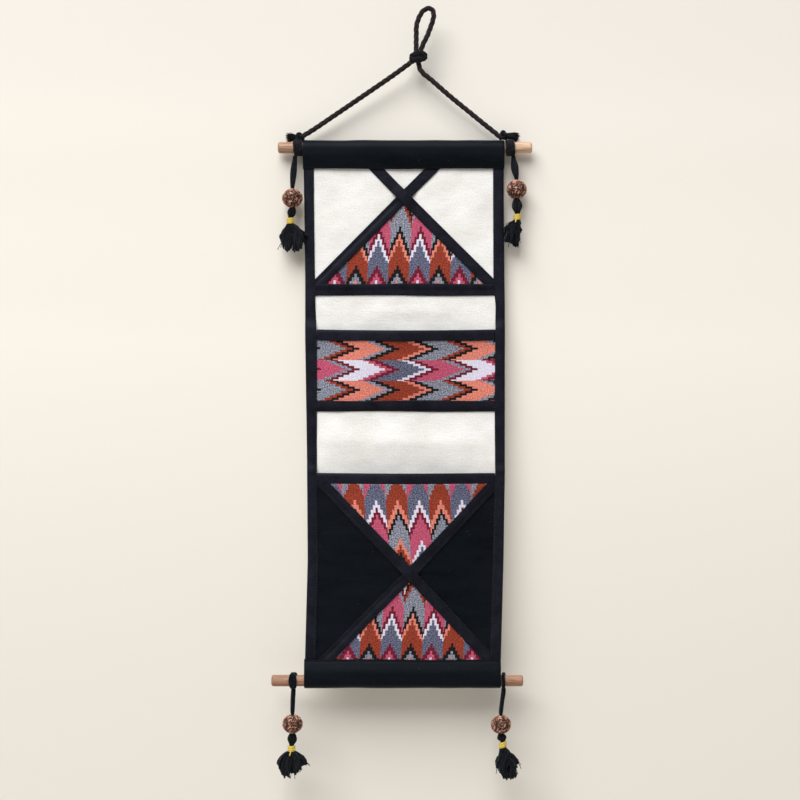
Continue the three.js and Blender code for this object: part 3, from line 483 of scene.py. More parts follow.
def hitch(side):
    """Windings, lump and brush of one rod end."""
    row = HITCHES[side]
    line = winding(row["wound"], TOP_ROD["z"], HITCH_TURNS)
    wound = pressed(rope(line, *WOUND_ROPE, LENGTHWAYS), TOP_ROD["z"])
    lump = trefoil((row["lump"][0], 0.0, row["lump"][1]), LUMP_HALF, LUMP_SPIN)
    parts = [wound, rope(lump, *LUMP_ROPE), brush(row["lump"], row["tip"])]
    return add_piece("hitch_" + side + "_cord", parts, TIED_BLACK, ["hitch_" + side])


hitch_left = hitch("left")
hitch_right = hitch("right")


# %% [markdown]
# ## Rods
# Two pale dowels, not quite even in thickness and with worn rims. The grain runs along them. A dowel
# is a profile turned round its axis: the radius is a function of the length, with a soft swell and
# rounded ends.

# %% Wood
def rod_wood(name, pale, dark, left_share):
    """Grain is noise drawn out along the rod; pores are a finer one; the colour gets lighter from left to
    right.
    """
    finish, tree, shader = new_finish(name, 0.5, gloss=0.45)
    spot = add(tree, "TexCoord").outputs["Object"]
    long_grain = add(tree, "Mapping", {"Vector": spot, "Scale": (14, 420, 420)}).outputs[0]
    grain = noise(tree, long_grain, 1.0, 5.0, 0.65)
    pores = noise(tree, long_grain, 3.2, 2.0, 0.5)
    worn = (*(0.85 * c for c in pale[:3]), 1)
    shade = ramp(tree, grain, [(0.3, dark), (0.52, pale), (0.75, worn)])[0]
    fleck = ramp(tree, pores, [(0.34, (0.45, 0.4, 0.36, 1)), (0.46, WHITE)])[0]
    along = add(tree, "SeparateXYZ", {0: spot}).outputs[0]
    share = add(tree, "MapRange", {0: along, 1: TOP_ROD["from"] * MM, 2: TOP_ROD["to"] * MM}).outputs[0]
    paling = ramp(tree, share, [(0.15, left_share), (1.0, WHITE)])[0]
    tinted = mixed(tree, 1.0, mixed(tree, 1.0, shade, fleck, "MULTIPLY"), paling, "MULTIPLY")
    coat(tree, shader, tinted, grain, 0.25)
    return finish


# %% Rods
FOOT_ROD = {"from": -158.0, "to": 93.5, "z": -669.4}
ROD_RIM = 2.2
ROD_BODY = 2.5  # from the end to the first ring of the body
ROD_SIDES = 28


def rod(name, reach, finish):
    """The radius swells by up to 2 parts in 100 along the rod and rounds to the flat end over the rim."""
    length = reach["to"] - reach["from"]
    edge_steps = ROD_RIM * (1 - np.cos(np.linspace(0, np.pi / 2, 6)))
    body_steps = np.linspace(ROD_BODY, length - ROD_BODY, 80)
    along = np.concatenate([edge_steps, body_steps, length - edge_steps[::-1]])
    inset = np.clip(np.minimum(along, length - along) / ROD_RIM, 0, 1)
    radius = ROD_RADIUS - ROD_RIM * (1 - np.sqrt(1 - (1 - inset) ** 2))
    radius = radius * (1 + 0.012 * np.sin(along / 29.0) + 0.008 * np.sin(along / 11.0 + 1.0))
    line = np.stack([reach["from"] + along, 0 * along, 0 * along + reach["z"]], axis=1)
    part = tubes(line[None], radius[None], ROD_SIDES, BACKWARD)
    return add_piece(name + "_dowel", [part], finish, [name])


TOP_WOOD = rod_wood("top_rod_wood", paint(208, 174, 144), paint(150, 112, 84), (0.63, 0.54, 0.51, 1))
FOOT_WOOD = rod_wood("foot_rod_wood", paint(160, 118, 92), paint(108, 76, 56), WHITE)
rod("rod_top", TOP_ROD, TOP_WOOD)
rod("rod_foot", FOOT_ROD, FOOT_WOOD)

# %% [markdown]
# ## Cloth
# Every piece of cloth is one layer about a millimetre thick. A function of two parameters gives its
# middle surface; the sheet is that surface moved half a thickness to both sides, and the thickness falls
# to nothing in a quarter circle at the border, so front and back meet in a soft closed edge.

# %% Cloth helpers
CLOTH = 1.0
GAP = 0.3
LAYER = CLOTH + GAP
RIM = 0.5
RIM_STEPS = np.array([0.12, 0.4, 0.8])  # grid lines in the rounded edge, as parts of the rim


def grid_lines(start, stop, step):
    """Grid lines about a step apart, with three more close to each end for the rounded edge."""
    even = np.linspace(start, stop, max(int(round((stop - start) / step)), 3) + 1)
    close = RIM * RIM_STEPS
    return np.concatenate([[start], start + close, even[1:-1], stop - close[::-1], [stop]])


def on_grid(surface, across, down):
    """The surface's points as one array."""
    return np.stack(np.broadcast_arrays(*surface(across, down)), axis=-1)


def facing(middle):
    """The direction square to a grid of points: its run down crossed with its run to the right."""
    return unit(np.cross(np.gradient(middle, axis=0), np.gradient(middle, axis=1)))


def quads(index):
    """Faces between the neighbours of an index grid."""
    corners = [index[:-1, :-1], index[1:, :-1], index[1:, 1:], index[:-1, 1:]]
    return np.stack(corners, axis=-1).reshape(-1, 4)


def sheet_part(u, v, surface, lie=None, thick=CLOTH):
    """A closed sheet on the grid u x v; lie gives its place on the cut cloth, or u and v themselves."""
    across, down = np.meshgrid(u, v)
    middle = on_grid(surface, across, down)
    inset = np.minimum(np.minimum(across - u[0], u[-1] - across), np.minimum(down - v[0], v[-1] - down))
    half = thick / 2 * np.sqrt(1 - (1 - np.clip(inset / RIM, 0, 1)) ** 2)
    swell = facing(middle) * half[..., None]
    front = np.arange(across.size).reshape(across.shape)
    back = front.copy()
    inner = back[1:-1, 1:-1]
    inner[:] = front.size + np.arange(inner.size).reshape(inner.shape)
    points = np.concatenate([(middle + swell).reshape(-1, 3), (middle - swell)[1:-1, 1:-1].reshape(-1, 3)])
    cut = np.stack(lie(across, down) if lie else (across, down), axis=-1)
    cut = np.concatenate([cut.reshape(-1, 2), cut[1:-1, 1:-1].reshape(-1, 2)])
    faces = [quads(front), quads(back)[:, ::-1]]
    return points, faces, [cut[face] for face in faces]


def part_way(value, low, high):
    """How far a value has gone from low to high, kept between 0 and 1."""
    return np.clip((value - low) / (high - low), 0, 1)


def step_up(value, low, high):
    """Smooth step from 0 at low to 1 at high: 3 s^2 - 2 s^3."""
    share = part_way(value, low, high)
    return share * share * (3 - 2 * share)


def spread(share, left, right):
    """A share from 0 to 1 as a place between two edges."""
    return left + (right - left) * share


def ripple(x, down, seed):
    """Soft uneven waves of about -1 to 1: three sines that cross at odd angles."""
    a = np.sin(0.11 * x + 0.05 * down + seed)
    b = np.sin(0.07 * down - 0.09 * x + 2.3 * seed)
    c = np.sin(0.19 * x + 0.13 * down + 4.1 * seed)
    return (a + b + 0.6 * c) / 2.6


# %% [markdown]
# ## White and black cotton
# The white cotton is hand-loomed: cream, with thicker and thinner weft threads (slubs) and a few dark
# flecks of seed husk; soft grey clouds on it are painted shade of faint swellings. The black cotton is
# finer and matt, with a bluish bloom and a little lint; its faded patches, drawn out across on the ground
# cloth, are partly painted fold shade. Both carry a plain weave as relief: the product of two sines, one
# for the warp and one for the weft.

# %% Cotton
WHITE_THREAD = 0.45  # width of one thread of the weave
BLACK_THREAD = 0.4


def checks(tree, across, along):
    """Sine across times sine along, both of the map scaled."""
    spot = add(tree, "SeparateXYZ", {0: on_map(tree, (across, along, 1))}).outputs
    return count(tree, "MULTIPLY", count(tree, "SINE", spot[0]), count(tree, "SINE", spot[1]))


def weave(tree, thread):
    """Height of a plain weave: a fifth of the checks, one thread to a half wave."""
    return count(tree, "MULTIPLY", checks(tree, math.pi / thread, math.pi / thread), 0.2)


def flecks(tree, size, cells):
    """One near a cell's centre, else zero: flecks of a size, with so many cells to the millimetre."""
    cell = add(tree, "TexVoronoi", {"Vector": on_map(tree), "Scale": cells})
    return count(tree, "LESS_THAN", cell.outputs["Distance"], size * cells)


def white_cotton():
    """Off-white with weft slubs, a fine grain and husk flecks; soft grey clouds are painted shade of faint
    swellings.
    """
    finish, tree, shader = new_finish("white_cotton", 0.95, 0.1)
    weft = noise(tree, on_map(tree, (0.09, 0.55, 1)), 1.0)
    grain = noise(tree, on_map(tree, (0.6, 0.75, 1)), 1.0)
    # soft clouds of tone: painted shade of faint swellings in the cloth
    cloud_shade = noise(tree, on_map(tree, (0.03, 0.05, 1)), 1.0, 2.0)
    slubs_and_cloud_shade = blend(tree, (weft, 0.2), (grain, 0.45), (cloud_shade, 0.35))
    stops = [(0.37, paint(213, 210, 204)), (0.5, paint(226, 224, 220)), (0.61, paint(234, 233, 231))]
    specks = mixed(tree, flecks(tree, 0.45, 0.07), ramp(tree, slubs_and_cloud_shade, stops)[0], paint(172, 160, 138))
    coat(tree, shader, specks, blend(tree, (weave(tree, WHITE_THREAD), 1), (slubs_and_cloud_shade, 4.0)), 0.2)
    return finish


def black_cotton(name, deep, worn, gloss, streak_scale):
    """Near black with lint, faded in soft patches that, where drawn out across, are painted fold shade; a
    bluish gloss shows on folds.
    """
    finish, tree, shader = new_finish(name, 0.45, 0.2, (0.74, 0.84, 1.0, 1), gloss)
    shader.inputs["Specular Tint"].default_value = (0.76, 0.87, 1.0, 1)
    # faded patches; drawn out across, as on the ground cloth, they are partly painted shade of horizontal
    # folds
    fade_and_fold_shade = noise(tree, on_map(tree, (streak_scale, 0.05, 1)), 1.0, 5.0, 0.7)
    thread = noise(tree, on_map(tree, (0.25, 1.6, 1)), 1.0)
    black = ramp(tree, blend(tree, (fade_and_fold_shade, 0.6), (thread, 0.4)), [(0.38, deep), (0.62, worn)])[0]
    lint = mixed(tree, flecks(tree, 0.28, 0.13), black, paint(84, 88, 96))
    coat(tree, shader, lint, blend(tree, (weave(tree, BLACK_THREAD), 1), (thread, 1.6)), 0.12)
    return finish


COTTON_WHITE = white_cotton()
STRIP_BLACK = black_cotton("black_cotton_strips", paint(14, 14, 19), paint(29, 29, 39), 0.07, 0.05)
# the ground cloth's fading is drawn out across into bands of painted fold shade
GROUND_BLACK = black_cotton("black_cotton_ground", paint(2, 4, 7), paint(13, 17, 23), 0.09, 0.012)

# %% [markdown]
# ## Outline of the cloth
# The sewn cloth isn't a true rectangle: its sides and the widths of its bindings wander by a few
# millimetres. A table gives them at some heights, and everything sewn on takes its ends from it. Heights
# are measured down from the top fold.

# %% Outline
MIDDLE_X = -25.5
FOLD_Z = -129.3
TUCK = 2.5  # from the cloth's outer edge to the raw edge inside the binding
EDGE_DOWN = (27.5, 60, 143, 165, 200, 260, 330, 420, 519.5)
EDGES = {
    "left": (-100.6, -100, -98.9, -99, -99, -98, -97, -96.5, -99.2),
    "right": (100, 100, 100.8, 101, 101, 101, 101, 99.7, 97),
    "left_hem": (10.6, 10, 10, 10.5, 12, 11, 10, 11, 11),
    "right_hem": (11, 11, 11.5, 9.5, 10, 10.5, 10, 11, 11),
}


def edge(column, down):
    """One column of the table, straight between its heights."""
    return np.interp(down, EDGE_DOWN, EDGES[column])


def inner_left(down):
    """Inner edge of the left binding."""
    return edge("left", down) + edge("left_hem", down)


def inner_right(down):
    """Inner edge of the right binding."""
    return edge("right", down) - edge("right_hem", down)


def between_raw(share, down):
    """A share of the width between the raw edges, as a place across."""
    return spread(share, edge("left", down) + TUCK, edge("right", down) - TUCK)


def place(x, y, down):
    """Cloth's own across, depth and height down, as a place in the shared frame."""
    return MIDDLE_X + x, y, FOLD_Z - down


# %% [markdown]
# ## Back panel
# One length of white cotton is the ground of the whole hanging. It hangs flat with three soft swellings
# and one long fold where the sewn-on pieces draw it together.

# %% Back panel
PANEL_FOLDS = ((84, -68, 30, 22, 0.8), (80, 68, 30, 22, 0.7), (171.5, 10, 9, 84, 0.9))
LONG_FOLD = {"from": 273.0, "crest": 301.0, "to": 331.0, "rise": 3.2, "sharp": 3.0, "slant": 0.035}
LONG_FOLD_ENDS = {"middle": -4, "from": 62, "to": 94}  # where it runs out, across from its middle
PANEL_WIDTH = 196
PANEL_TOP = 22.0
PANEL_FOOT = 526.0


def panel_rise(x, down):
    """Sum of smooth humps, each an ellipse (height, middle, half height, half width, rise)."""
    away = [np.hypot((x - mid) / wide, (down - at) / tall) for at, mid, tall, wide, _ in PANEL_FOLDS]
    return sum(fold[4] * (1 - step_up(far, 0, 1)) for fold, far in zip(PANEL_FOLDS, away))


def long_fold(x, down):
    """The lower of a rising parabola and a falling line, rounded where they meet, ending at the sides."""
    fold, ends = LONG_FOLD, LONG_FOLD_ENDS
    level = down - fold["slant"] * x
    climb = fold["rise"] * (np.maximum(level - fold["from"], 0) / (fold["crest"] - fold["from"])) ** 2
    fall = fold["rise"] * np.maximum(fold["to"] - level, 0) / (fold["to"] - fold["crest"])
    lower = -np.logaddexp(-fold["sharp"] * climb, -fold["sharp"] * fall) / fold["sharp"]
    return np.maximum(lower, 0) * (1 - step_up(np.abs(x - ends["middle"]), ends["from"], ends["to"]))


def panel(share, down):
    """Flat between the raw edges, with its swellings."""
    x = between_raw(share / PANEL_WIDTH, down)
    return place(x, -panel_rise(x, down) - long_fold(x, down) - 0.4 * ripple(x, 1.8 * down, 1.0), down)


panel_part = sheet_part(grid_lines(0, PANEL_WIDTH, 4), grid_lines(PANEL_TOP, PANEL_FOOT, 4), panel)
back_panel = add_piece("panel_cloth", [panel_part], COTTON_WHITE, ["back_panel"])

# %% [markdown]
# ## Side bindings
# Black strips are folded over the raw sides. The section is a hairpin: a leaf in front, a half circle
# round the edge and a leaf behind. Where a pocket is sewn in under the front leaf, the leaf is lifted.

# %% Pockets' measures
UPPER = {"mouth": 189.0, "hem": 10.8, "foot": 271.0, "sewn": 266.0, "gape": 10.0, "sag": 1.3}
LOWER = {"mouth": 332.3, "hem": 10.6, "foot": 519.5, "sewn": 526.0, "gape": 13.0, "sag": 0.0}
HEM_EASE = 10.0  # over which a pocket's front comes down from its hem


def layers_under(pocket, down):
    """Two layers lie under a pocket's front at its hem, one from a little below it."""
    return 2 - np.clip((down - pocket["mouth"] - pocket["hem"]) / HEM_EASE, 0, 1)


# %% Side bindings
HEADING_SEAM = 27.5
FOOT_SEAM = 519.5
SEAM_ROOM = 0.8  # between a casing's seam and a binding's end
SIDE_NAMES = {-1: "left", 1: "right"}
BINDING_LEAF = 10.0
LIFT_PAST = 2.0  # how far the lift of a leaf goes past the pocket's ends
LIFT_CLIMB = 7.0
STRIP_STEP = 1.2  # grid step across a strip
STRIP_PUFF = 0.3  # how far a folded strip's leaf is cushioned


def hairpin(leaf):
    """Length, depth and height along a fold: up the front leaf, half round, down the back leaf."""
    angle = np.linspace(np.pi, 0, 15)
    depth = np.concatenate([[-LAYER], LAYER * np.cos(angle), [LAYER]])
    height = np.concatenate([[-leaf], LAYER * np.sin(angle) - LAYER - CLOTH / 2, [-leaf]])
    return run_length(np.stack([depth, height], axis=1)), depth, height


def puffed(leaf, rise, waves):
    """A strip's cushion across its width: a sine, made uneven by waves."""
    return rise * np.sin(np.pi * leaf) * (1 + 0.8 * waves)


def binding_lift(down):
    """How far the pockets' edges lift the front leaf, climbing on and off at their ends."""
    lift = 0 * down
    for pocket in (UPPER, LOWER):
        on, off = pocket["mouth"] - LIFT_PAST, pocket["sewn"] + LIFT_PAST
        share = step_up(down, on - LIFT_CLIMB, on) - step_up(down, off, off + LIFT_CLIMB)
        lift = lift + share * LAYER * layers_under(pocket, down)
    return lift


def binding(side):
    """Surface of a side binding from its length round the fold and its height."""
    name = SIDE_NAMES[side]
    length, depth, height = hairpin(BINDING_LEAF)

    def surface(round_fold, down):
        inward = side * np.interp(round_fold, length, height) * edge(name + "_hem", down) / BINDING_LEAF
        y = np.interp(round_fold, length, depth)
        front = np.clip(-y / (LAYER - CLOTH / 2), 0, 1)
        leaf = np.clip(round_fold / BINDING_LEAF, 0, 1)
        puff = puffed(leaf, STRIP_PUFF, ripple(3 * leaf, 1.6 * down, side + 2.0))
        return place(edge(name, down) + inward, y - front * binding_lift(down) - puff, down)

    return surface, length[-1]


def side_binding(side):
    """Both leaves of one side's binding as a sheet."""
    name = SIDE_NAMES[side]
    surface, width = binding(side)
    heights = grid_lines(HEADING_SEAM + SEAM_ROOM, FOOT_SEAM - SEAM_ROOM, 3)
    part = sheet_part(grid_lines(0, width, STRIP_STEP), heights, surface)
    piece = add_piece("binding_" + name + "_cloth", [part], STRIP_BLACK, ["binding_" + name])


side_binding(-1)
side_binding(1)

# %% [markdown]
# ## Casings
# The heading and the foot are black strips folded round the rods: two leaves that meet the panel at a
# seam and a round fold between them. A leaf runs straight from the seam to where it touches the round. The
# cloth isn't tight, so it stands off in faint wrinkles.

# %% Casings
CASING = 1.2  # thickness of the casings' cloth
CASING_RADIUS = 6.6
LEAF = CLOTH / 2 + GAP + CASING / 2
CASINGS = {
    "heading_casing": {
        "left": -101.0, "right": 100.3, "z": TOP_ROD["z"], "seam": 21.4, "up": 1,
        "front": LEAF + LAYER, "rod": "rod_top", "sewn": (-99, 98),
    },
    "foot_casing": {
        "left": -99.7, "right": 96.6, "z": FOOT_ROD["z"], "seam": 21.6, "up": -1,
        "front": LEAF + 2 * LAYER, "rod": "rod_foot", "sewn": (-98, 95),
    },
}
SEAM_LINE = 1.8  # from a casing's edge to its stitching
SEAM_DENT = 0.55  # how deep the stitching draws the cloth in
SEAM_HALF = 0.8  # how far to its sides
SEAM_WANDER = 0.5  # how far a sewn edge is off straight
FRONT_BULGE = {"at": 12.5, "half": 12.5, "rise": 1.5}  # where the front leaf stands off, along the fold


def casing_line(seam, front):
    """Length, depth and height from the front seam round the rod to the back seam."""

    def lean(leaf):
        return math.acos(CASING_RADIUS / math.hypot(leaf, seam)) + math.atan2(leaf, seam)

    angle = np.linspace(-np.pi / 2 - lean(front), -np.pi / 2 + lean(LEAF) - 2 * np.pi, 48)
    depth = np.concatenate([[-front], CASING_RADIUS * np.cos(angle), [LEAF]])
    height = np.concatenate([[-seam], CASING_RADIUS * np.sin(angle), [-seam]])
    return run_length(np.stack([depth, height], axis=1)), depth, height


def casing_front(round_fold):
    """How far the front leaf bulges forward, less how far its stitching draws it in."""
    from_bulge = np.abs(round_fold - FRONT_BULGE["at"])
    bulge = FRONT_BULGE["rise"] * (1 - step_up(from_bulge, 0, FRONT_BULGE["half"]))
    return bulge - SEAM_DENT * np.exp(-(((round_fold - SEAM_LINE) / SEAM_HALF) ** 2))


def casing(row):
    """Surface of a casing from its place across and its length round the fold."""
    length, depth, height = casing_line(row["seam"], row["front"])
    up = row["up"]

    def surface(x, round_fold):
        y = np.interp(round_fold, length, depth)
        z = np.interp(round_fold, length, height)
        share = (x - row["left"]) / (row["right"] - row["left"])
        along = share if up > 0 else 1 - share
        to_seam = np.clip(-z / row["seam"], 0, 1)
        wander = SEAM_WANDER * np.sin(8 * along + up) * np.sin(np.pi * along) * to_seam
        loose = np.sin(np.pi * np.clip(round_fold / length[-1], 0, 1)) ** 2
        wrinkle = 0.3 * loose * (1 + ripple(0.9 * x, 1.2 * round_fold, 3.0 + up))
        size = 1 + wrinkle / np.hypot(y, z)
        return MIDDLE_X + x, y * size - casing_front(round_fold), row["z"] + up * (z * size + wander)

    return surface, length[-1]


def casing_piece(name, row):
    """A casing as a sheet."""
    surface, around = casing(row)
    across = grid_lines(row["left"], row["right"], 3)
    part = sheet_part(across, grid_lines(0, around, 1.5), surface, None, CASING)
    piece = add_piece(name + "_cloth", [part], GROUND_BLACK, [name])


for casing_name, casing_row in CASINGS.items():
    casing_piece(casing_name, casing_row)

# %% [markdown]
# ## Flame cloth
# The patches are cut from hand-woven cloth in a traditional flame pattern: columns of stepped arrows.
# Two kinds of column take turns. In each, a column is nine stripes wide, each stripe lags behind the one
# nearer the middle, and along a stripe the colours follow a fixed order of wide bodies and narrow
# chevrons. So the colour is a formula of two numbers: columns across and millimetres along. The map of
# a flame-cloth piece holds just these two, and two ramps hold the order of the colours. The greys are
# spun from fibres of several shades, so each colour has a fourth number: how mottled its yarn is.

# %% Orders of colours
RUST = paint(146, 57, 37, 0.7)
PEACH = paint(220, 130, 112, 0.5)
GREY = paint(137, 140, 153, 1.0)
DUSK = paint(97, 100, 122, 1.0)
PINK = paint(188, 82, 110, 0.6)
WINE = paint(112, 20, 44, 0.7)
PALE = paint(220, 215, 229, 0.25)
INK = paint(16, 14, 17, 0.6)
BODY = 24.7
CHEVRON = 7.0
DARK = 7.8  # height of a dark chevron
ARROWS_A = [
    (PEACH, BODY), (GREY, CHEVRON), (INK, DARK), (RUST, BODY), (PEACH, CHEVRON), (INK, DARK),
    (GREY, BODY), (RUST, CHEVRON), (INK, DARK),
]
ARROWS_B = [
    (PALE, BODY), (PINK, CHEVRON), (WINE, DARK), (DUSK, BODY), (PALE, CHEVRON), (WINE, DARK),
    (PINK, BODY), (GREY, CHEVRON), (WINE, DARK),
]
TURNED_A = [
    (RUST, BODY), (PEACH, 8.7), (INK, 6.6), (GREY, 22.4), (PEACH, 6.6), (RUST, 7.7), (INK, 14.0),
    (GREY, 27.8),
]
TURNED_B = [
    (DUSK, BODY), (PALE, 7.4), (WINE, 7.1), (PINK, 25.3), (PALE, 6.6), (DUSK, 20.7), (PINK, 26.7),
]

# %% Flame cloth
COLUMN = 20.7  # width of one column of arrows
STRIPES = 9  # stripes in a column
LAG = 5.4  # how far a stripe lags behind the one nearer the middle
FOOT_LAG = {"lag": 3.9, "start": 39.5, "ease": 8}  # below the start the arrows are blunter
TURNED_LAG = -4.8
UNEVEN = 1.6  # how much the steps' heights differ
PICK = 0.75  # width of one thread


def order_ramp(tree, phase, order, cycle):
    """Colours along a stripe as a ramp of hard steps."""
    starts = np.cumsum([0] + [size for _, size in order[:-1]]) / cycle
    stops = [(float(start), colour) for start, (colour, _) in zip(starts, order)]
    return ramp(tree, phase, stops, "CONSTANT")


def flame_place(tree, foot_lag, lag, cycle):
    """Whether the column is odd, and the phase: mm + lag x stripes from the tip, as a share of the cycle.

    The tip lies half a stripe off the column's middle, to the other side on the turned cloth.
    """
    spot = add(tree, "SeparateXYZ", {0: add(tree, "UVMap", uv_map=MAP).outputs[0]}).outputs
    across = count(tree, "ADD", spot[0], 0.5)
    column = count(tree, "FLOOR", across)
    share = count(tree, "MULTIPLY", count(tree, "SUBTRACT", across, column), STRIPES)
    stripe = count(tree, "FLOOR", count(tree, "ADD", share, math.copysign(0.5, lag)))
    steps = count(tree, "ABSOLUTE", count(tree, "SUBTRACT", stripe, (STRIPES - 1) / 2))
    start = FOOT_LAG["start"]
    reach = {"Value": spot[1], 1: start, 2: start + FOOT_LAG["ease"], 3: foot_lag, 4: lag}
    behind = count(tree, "MULTIPLY", steps, add(tree, "MapRange", reach).outputs[0])
    uneven = count(tree, "MULTIPLY", noise(tree, on_map(tree, (9, 0.5, 1)), 1.0, 1.0), UNEVEN)
    uneven = count(tree, "SUBTRACT", uneven, UNEVEN / 2)
    along = blend(tree, (spot[1], 1), (behind, 1), (uneven, 1))
    phase = count(tree, "FRACT", count(tree, "DIVIDE", along, cycle))
    return count(tree, "FLOORED_MODULO", column, 2.0), phase


def flame_cloth(name, order_a, order_b, foot_lag, lag):
    """The colour by column and phase, mottled as its yarn is, tinted by fibres; threads as relief."""
    finish, tree, shader = new_finish(name, 0.9, 0.1)
    cycle = sum(size for _, size in order_a)
    odd, phase = flame_place(tree, foot_lag, lag, cycle)
    first = order_ramp(tree, phase, order_a, cycle)
    second = order_ramp(tree, phase, order_b, cycle)
    colour = mixed(tree, odd, first[0], second[0])
    mottled = add(tree, "Mix", {0: odd, 2: first[1], 3: second[1]}, data_type="FLOAT").outputs[0]
    heather = noise(tree, on_map(tree, (20, 1, 1)), 0.8, 1.0, 0.6)
    grains = [(0.3, (0.2, 0.2, 0.2, 1)), (0.5, (0.84, 0.84, 0.84, 1)), (0.7, (1.75, 1.75, 1.75, 1))]
    colour = mixed(tree, mottled, colour, ramp(tree, heather, grains)[0], "MULTIPLY")
    fibre = noise(tree, on_map(tree, (23, 1.2, 1)), 0.6, 1.0)
    tints = [(0.35, (0.86, 0.98, 1.2, 1)), (0.5, WHITE), (0.65, (1.12, 0.98, 0.84, 1))]
    colour = mixed(tree, 1.0, colour, ramp(tree, fibre, tints)[0], "MULTIPLY")
    picks = checks(tree, COLUMN * math.pi / PICK, math.pi / PICK)
    coat(tree, shader, colour, blend(tree, (picks, 1), (heather, 1.5)), 0.16)
    return finish


FLAME_STRIP = flame_cloth("flame_cloth_strip", ARROWS_A, ARROWS_B, LAG, LAG)
FLAME = flame_cloth("flame_cloth", ARROWS_A, ARROWS_B, FOOT_LAG["lag"], LAG)
FLAME_TURNED = flame_cloth("flame_cloth_turned", TURNED_A, TURNED_B, TURNED_LAG, TURNED_LAG)

# %% [markdown]
# ## Pockets
# A pocket's front is sewn in at both sides and at the foot and gapes a little at the mouth: across it
# bows like a sine, and down it falls off like a cosine. A binding is folded over the mouth's edge and
# hangs slightly in the middle.

# %% Pocket fronts
GAPE_POWER = 1.4
FRONT_BELOW = 2.15  # from the mouth's fold to the front's own edge inside it
STRIP_MIDDLE = 208.9  # height of the middle of the strip's first row of arrows
STRIP_TIP = -45.6  # across at a tip of the arrows


def pocket_stand(pocket, x, down):
    """Distance in front of the panel: layers, plus gape x (sine across x cosine down) to a power."""
    across = part_way(x, inner_left(down), inner_right(down))
    fall = part_way(down, pocket["mouth"], pocket["foot"])
    bow = np.clip(np.sin(np.pi * across) * np.cos(np.pi / 2 * fall), 0, 1) ** GAPE_POWER
    return LAYER * layers_under(pocket, down) + pocket["gape"] * bow


def mouth_sag(pocket, x):
    """How far the mouth hangs below its ends, a sine across."""
    left, right = inner_left(pocket["mouth"]), inner_right(pocket["mouth"])
    return pocket["sag"] * np.sin(np.pi * part_way(x, left, right))


def pocket_front(pocket):
    """Surface of a pocket's front between the raw edges under the bindings."""
    top = pocket["mouth"] + FRONT_BELOW

    def surface(share, fall):
        sag = mouth_sag(pocket, share - PANEL_WIDTH / 2) * (1 - fall / (pocket["sewn"] - top))
        down = top + sag + fall
        x = between_raw(share / PANEL_WIDTH, down)
        return place(x, -pocket_stand(pocket, x, down), down)

    return surface, pocket["sewn"] - top


def front_piece(name, pocket, finish, lie):
    """A pocket's front as a sheet."""
    surface, height = pocket_front(pocket)
    part = sheet_part(grid_lines(0, PANEL_WIDTH, 3), grid_lines(0, height, 3), surface, lie)
    piece = add_piece(name + "_cloth", [part], finish, [name])


def strip_lie(share, fall):
    """Arrows point to the right: columns are counted down the cloth, millimetres run across."""
    down = UPPER["mouth"] + FRONT_BELOW + fall
    return (down - STRIP_MIDDLE) / COLUMN, share - PANEL_WIDTH / 2 - STRIP_TIP


front_piece("pocket_upper_front", UPPER, FLAME_STRIP, strip_lie)
front_piece("pocket_lower_front", LOWER, GROUND_BLACK, None)

# %% Mouth bindings
OVERLAP = 0.15  # how far a strip reaches past the edge that it ends at
MOUTH_WANDER = 0.35  # how far a mouth binding's lower edge is off straight


def mouth_binding(pocket):
    """Surface of the binding folded over a pocket's mouth."""
    length, depth, height = hairpin(pocket["hem"])

    def surface(x, round_fold):
        z = np.interp(round_fold, length, height)
        down = pocket["mouth"] + mouth_sag(pocket, x) - z
        leaf = np.clip(round_fold / pocket["hem"], 0, 1)
        puff = puffed(leaf, STRIP_PUFF, ripple(1.7 * x, 3 * leaf, 5.0))
        y = np.interp(round_fold, length, depth) - pocket_stand(pocket, x, down) - puff
        return place(x, y, down - MOUTH_WANDER * np.sin(0.09 * x + pocket["hem"]) * (1 - leaf))

    return surface, length[-1]


def mouth_piece(name, pocket):
    """A mouth binding as a sheet."""
    surface, around = mouth_binding(pocket)
    hem_foot = pocket["mouth"] + pocket["hem"]
    left, right = inner_left(hem_foot) - OVERLAP, inner_right(hem_foot) + OVERLAP
    part = sheet_part(grid_lines(left, right, 3), grid_lines(0, around, STRIP_STEP), surface)
    piece = add_piece(name + "_cloth", [part], STRIP_BLACK, [name])


mouth_piece("pocket_upper_mouth", UPPER)
mouth_piece("pocket_lower_mouth", LOWER)

# %% [markdown]
# ## Cross bands
# Two flat black strips lie across the cloth: one below the top picture, one over the upper pocket's foot.
# Their edges are turned under, so a band is cushioned in its width, and they wander off straight.

# %% Cross bands
BAND_WIDTH = 178
BAND_PUFF = 0.35
CROSS_BAND = (143.5, 155.2)
CROSS_BAND_DOWN = (146, 150)  # heights between which it comes down from the top patch's edge
FOOT_BAND = (260.2, 271.0)
FOOT_BAND_DOWN = (UPPER["sewn"] + 0.5, UPPER["foot"] - 1.5)  # and from the pocket's edge
FOOT_BAND_OVER = LAYER + 0.15  # how far in front of the pocket it lies at its top


def band(heights, stand):
    """Surface of a flat strip between two heights; stand is its distance in front of the panel."""
    top, foot = heights

    def surface(share, down):
        along = share / BAND_WIDTH
        x = spread(along, inner_left(down) - OVERLAP, inner_right(down) + OVERLAP)
        part = (down - top) / (foot - top)
        wave = (1 - part) * np.sin(8 * along) + part * np.sin(8 * along + 2)
        wander = SEAM_WANDER * np.sin(np.pi * along) * wave
        puff = puffed(part, BAND_PUFF, ripple(1.7 * x, 3 * part, top))
        return place(x, -stand(x, down) - puff, down + wander)

    return surface


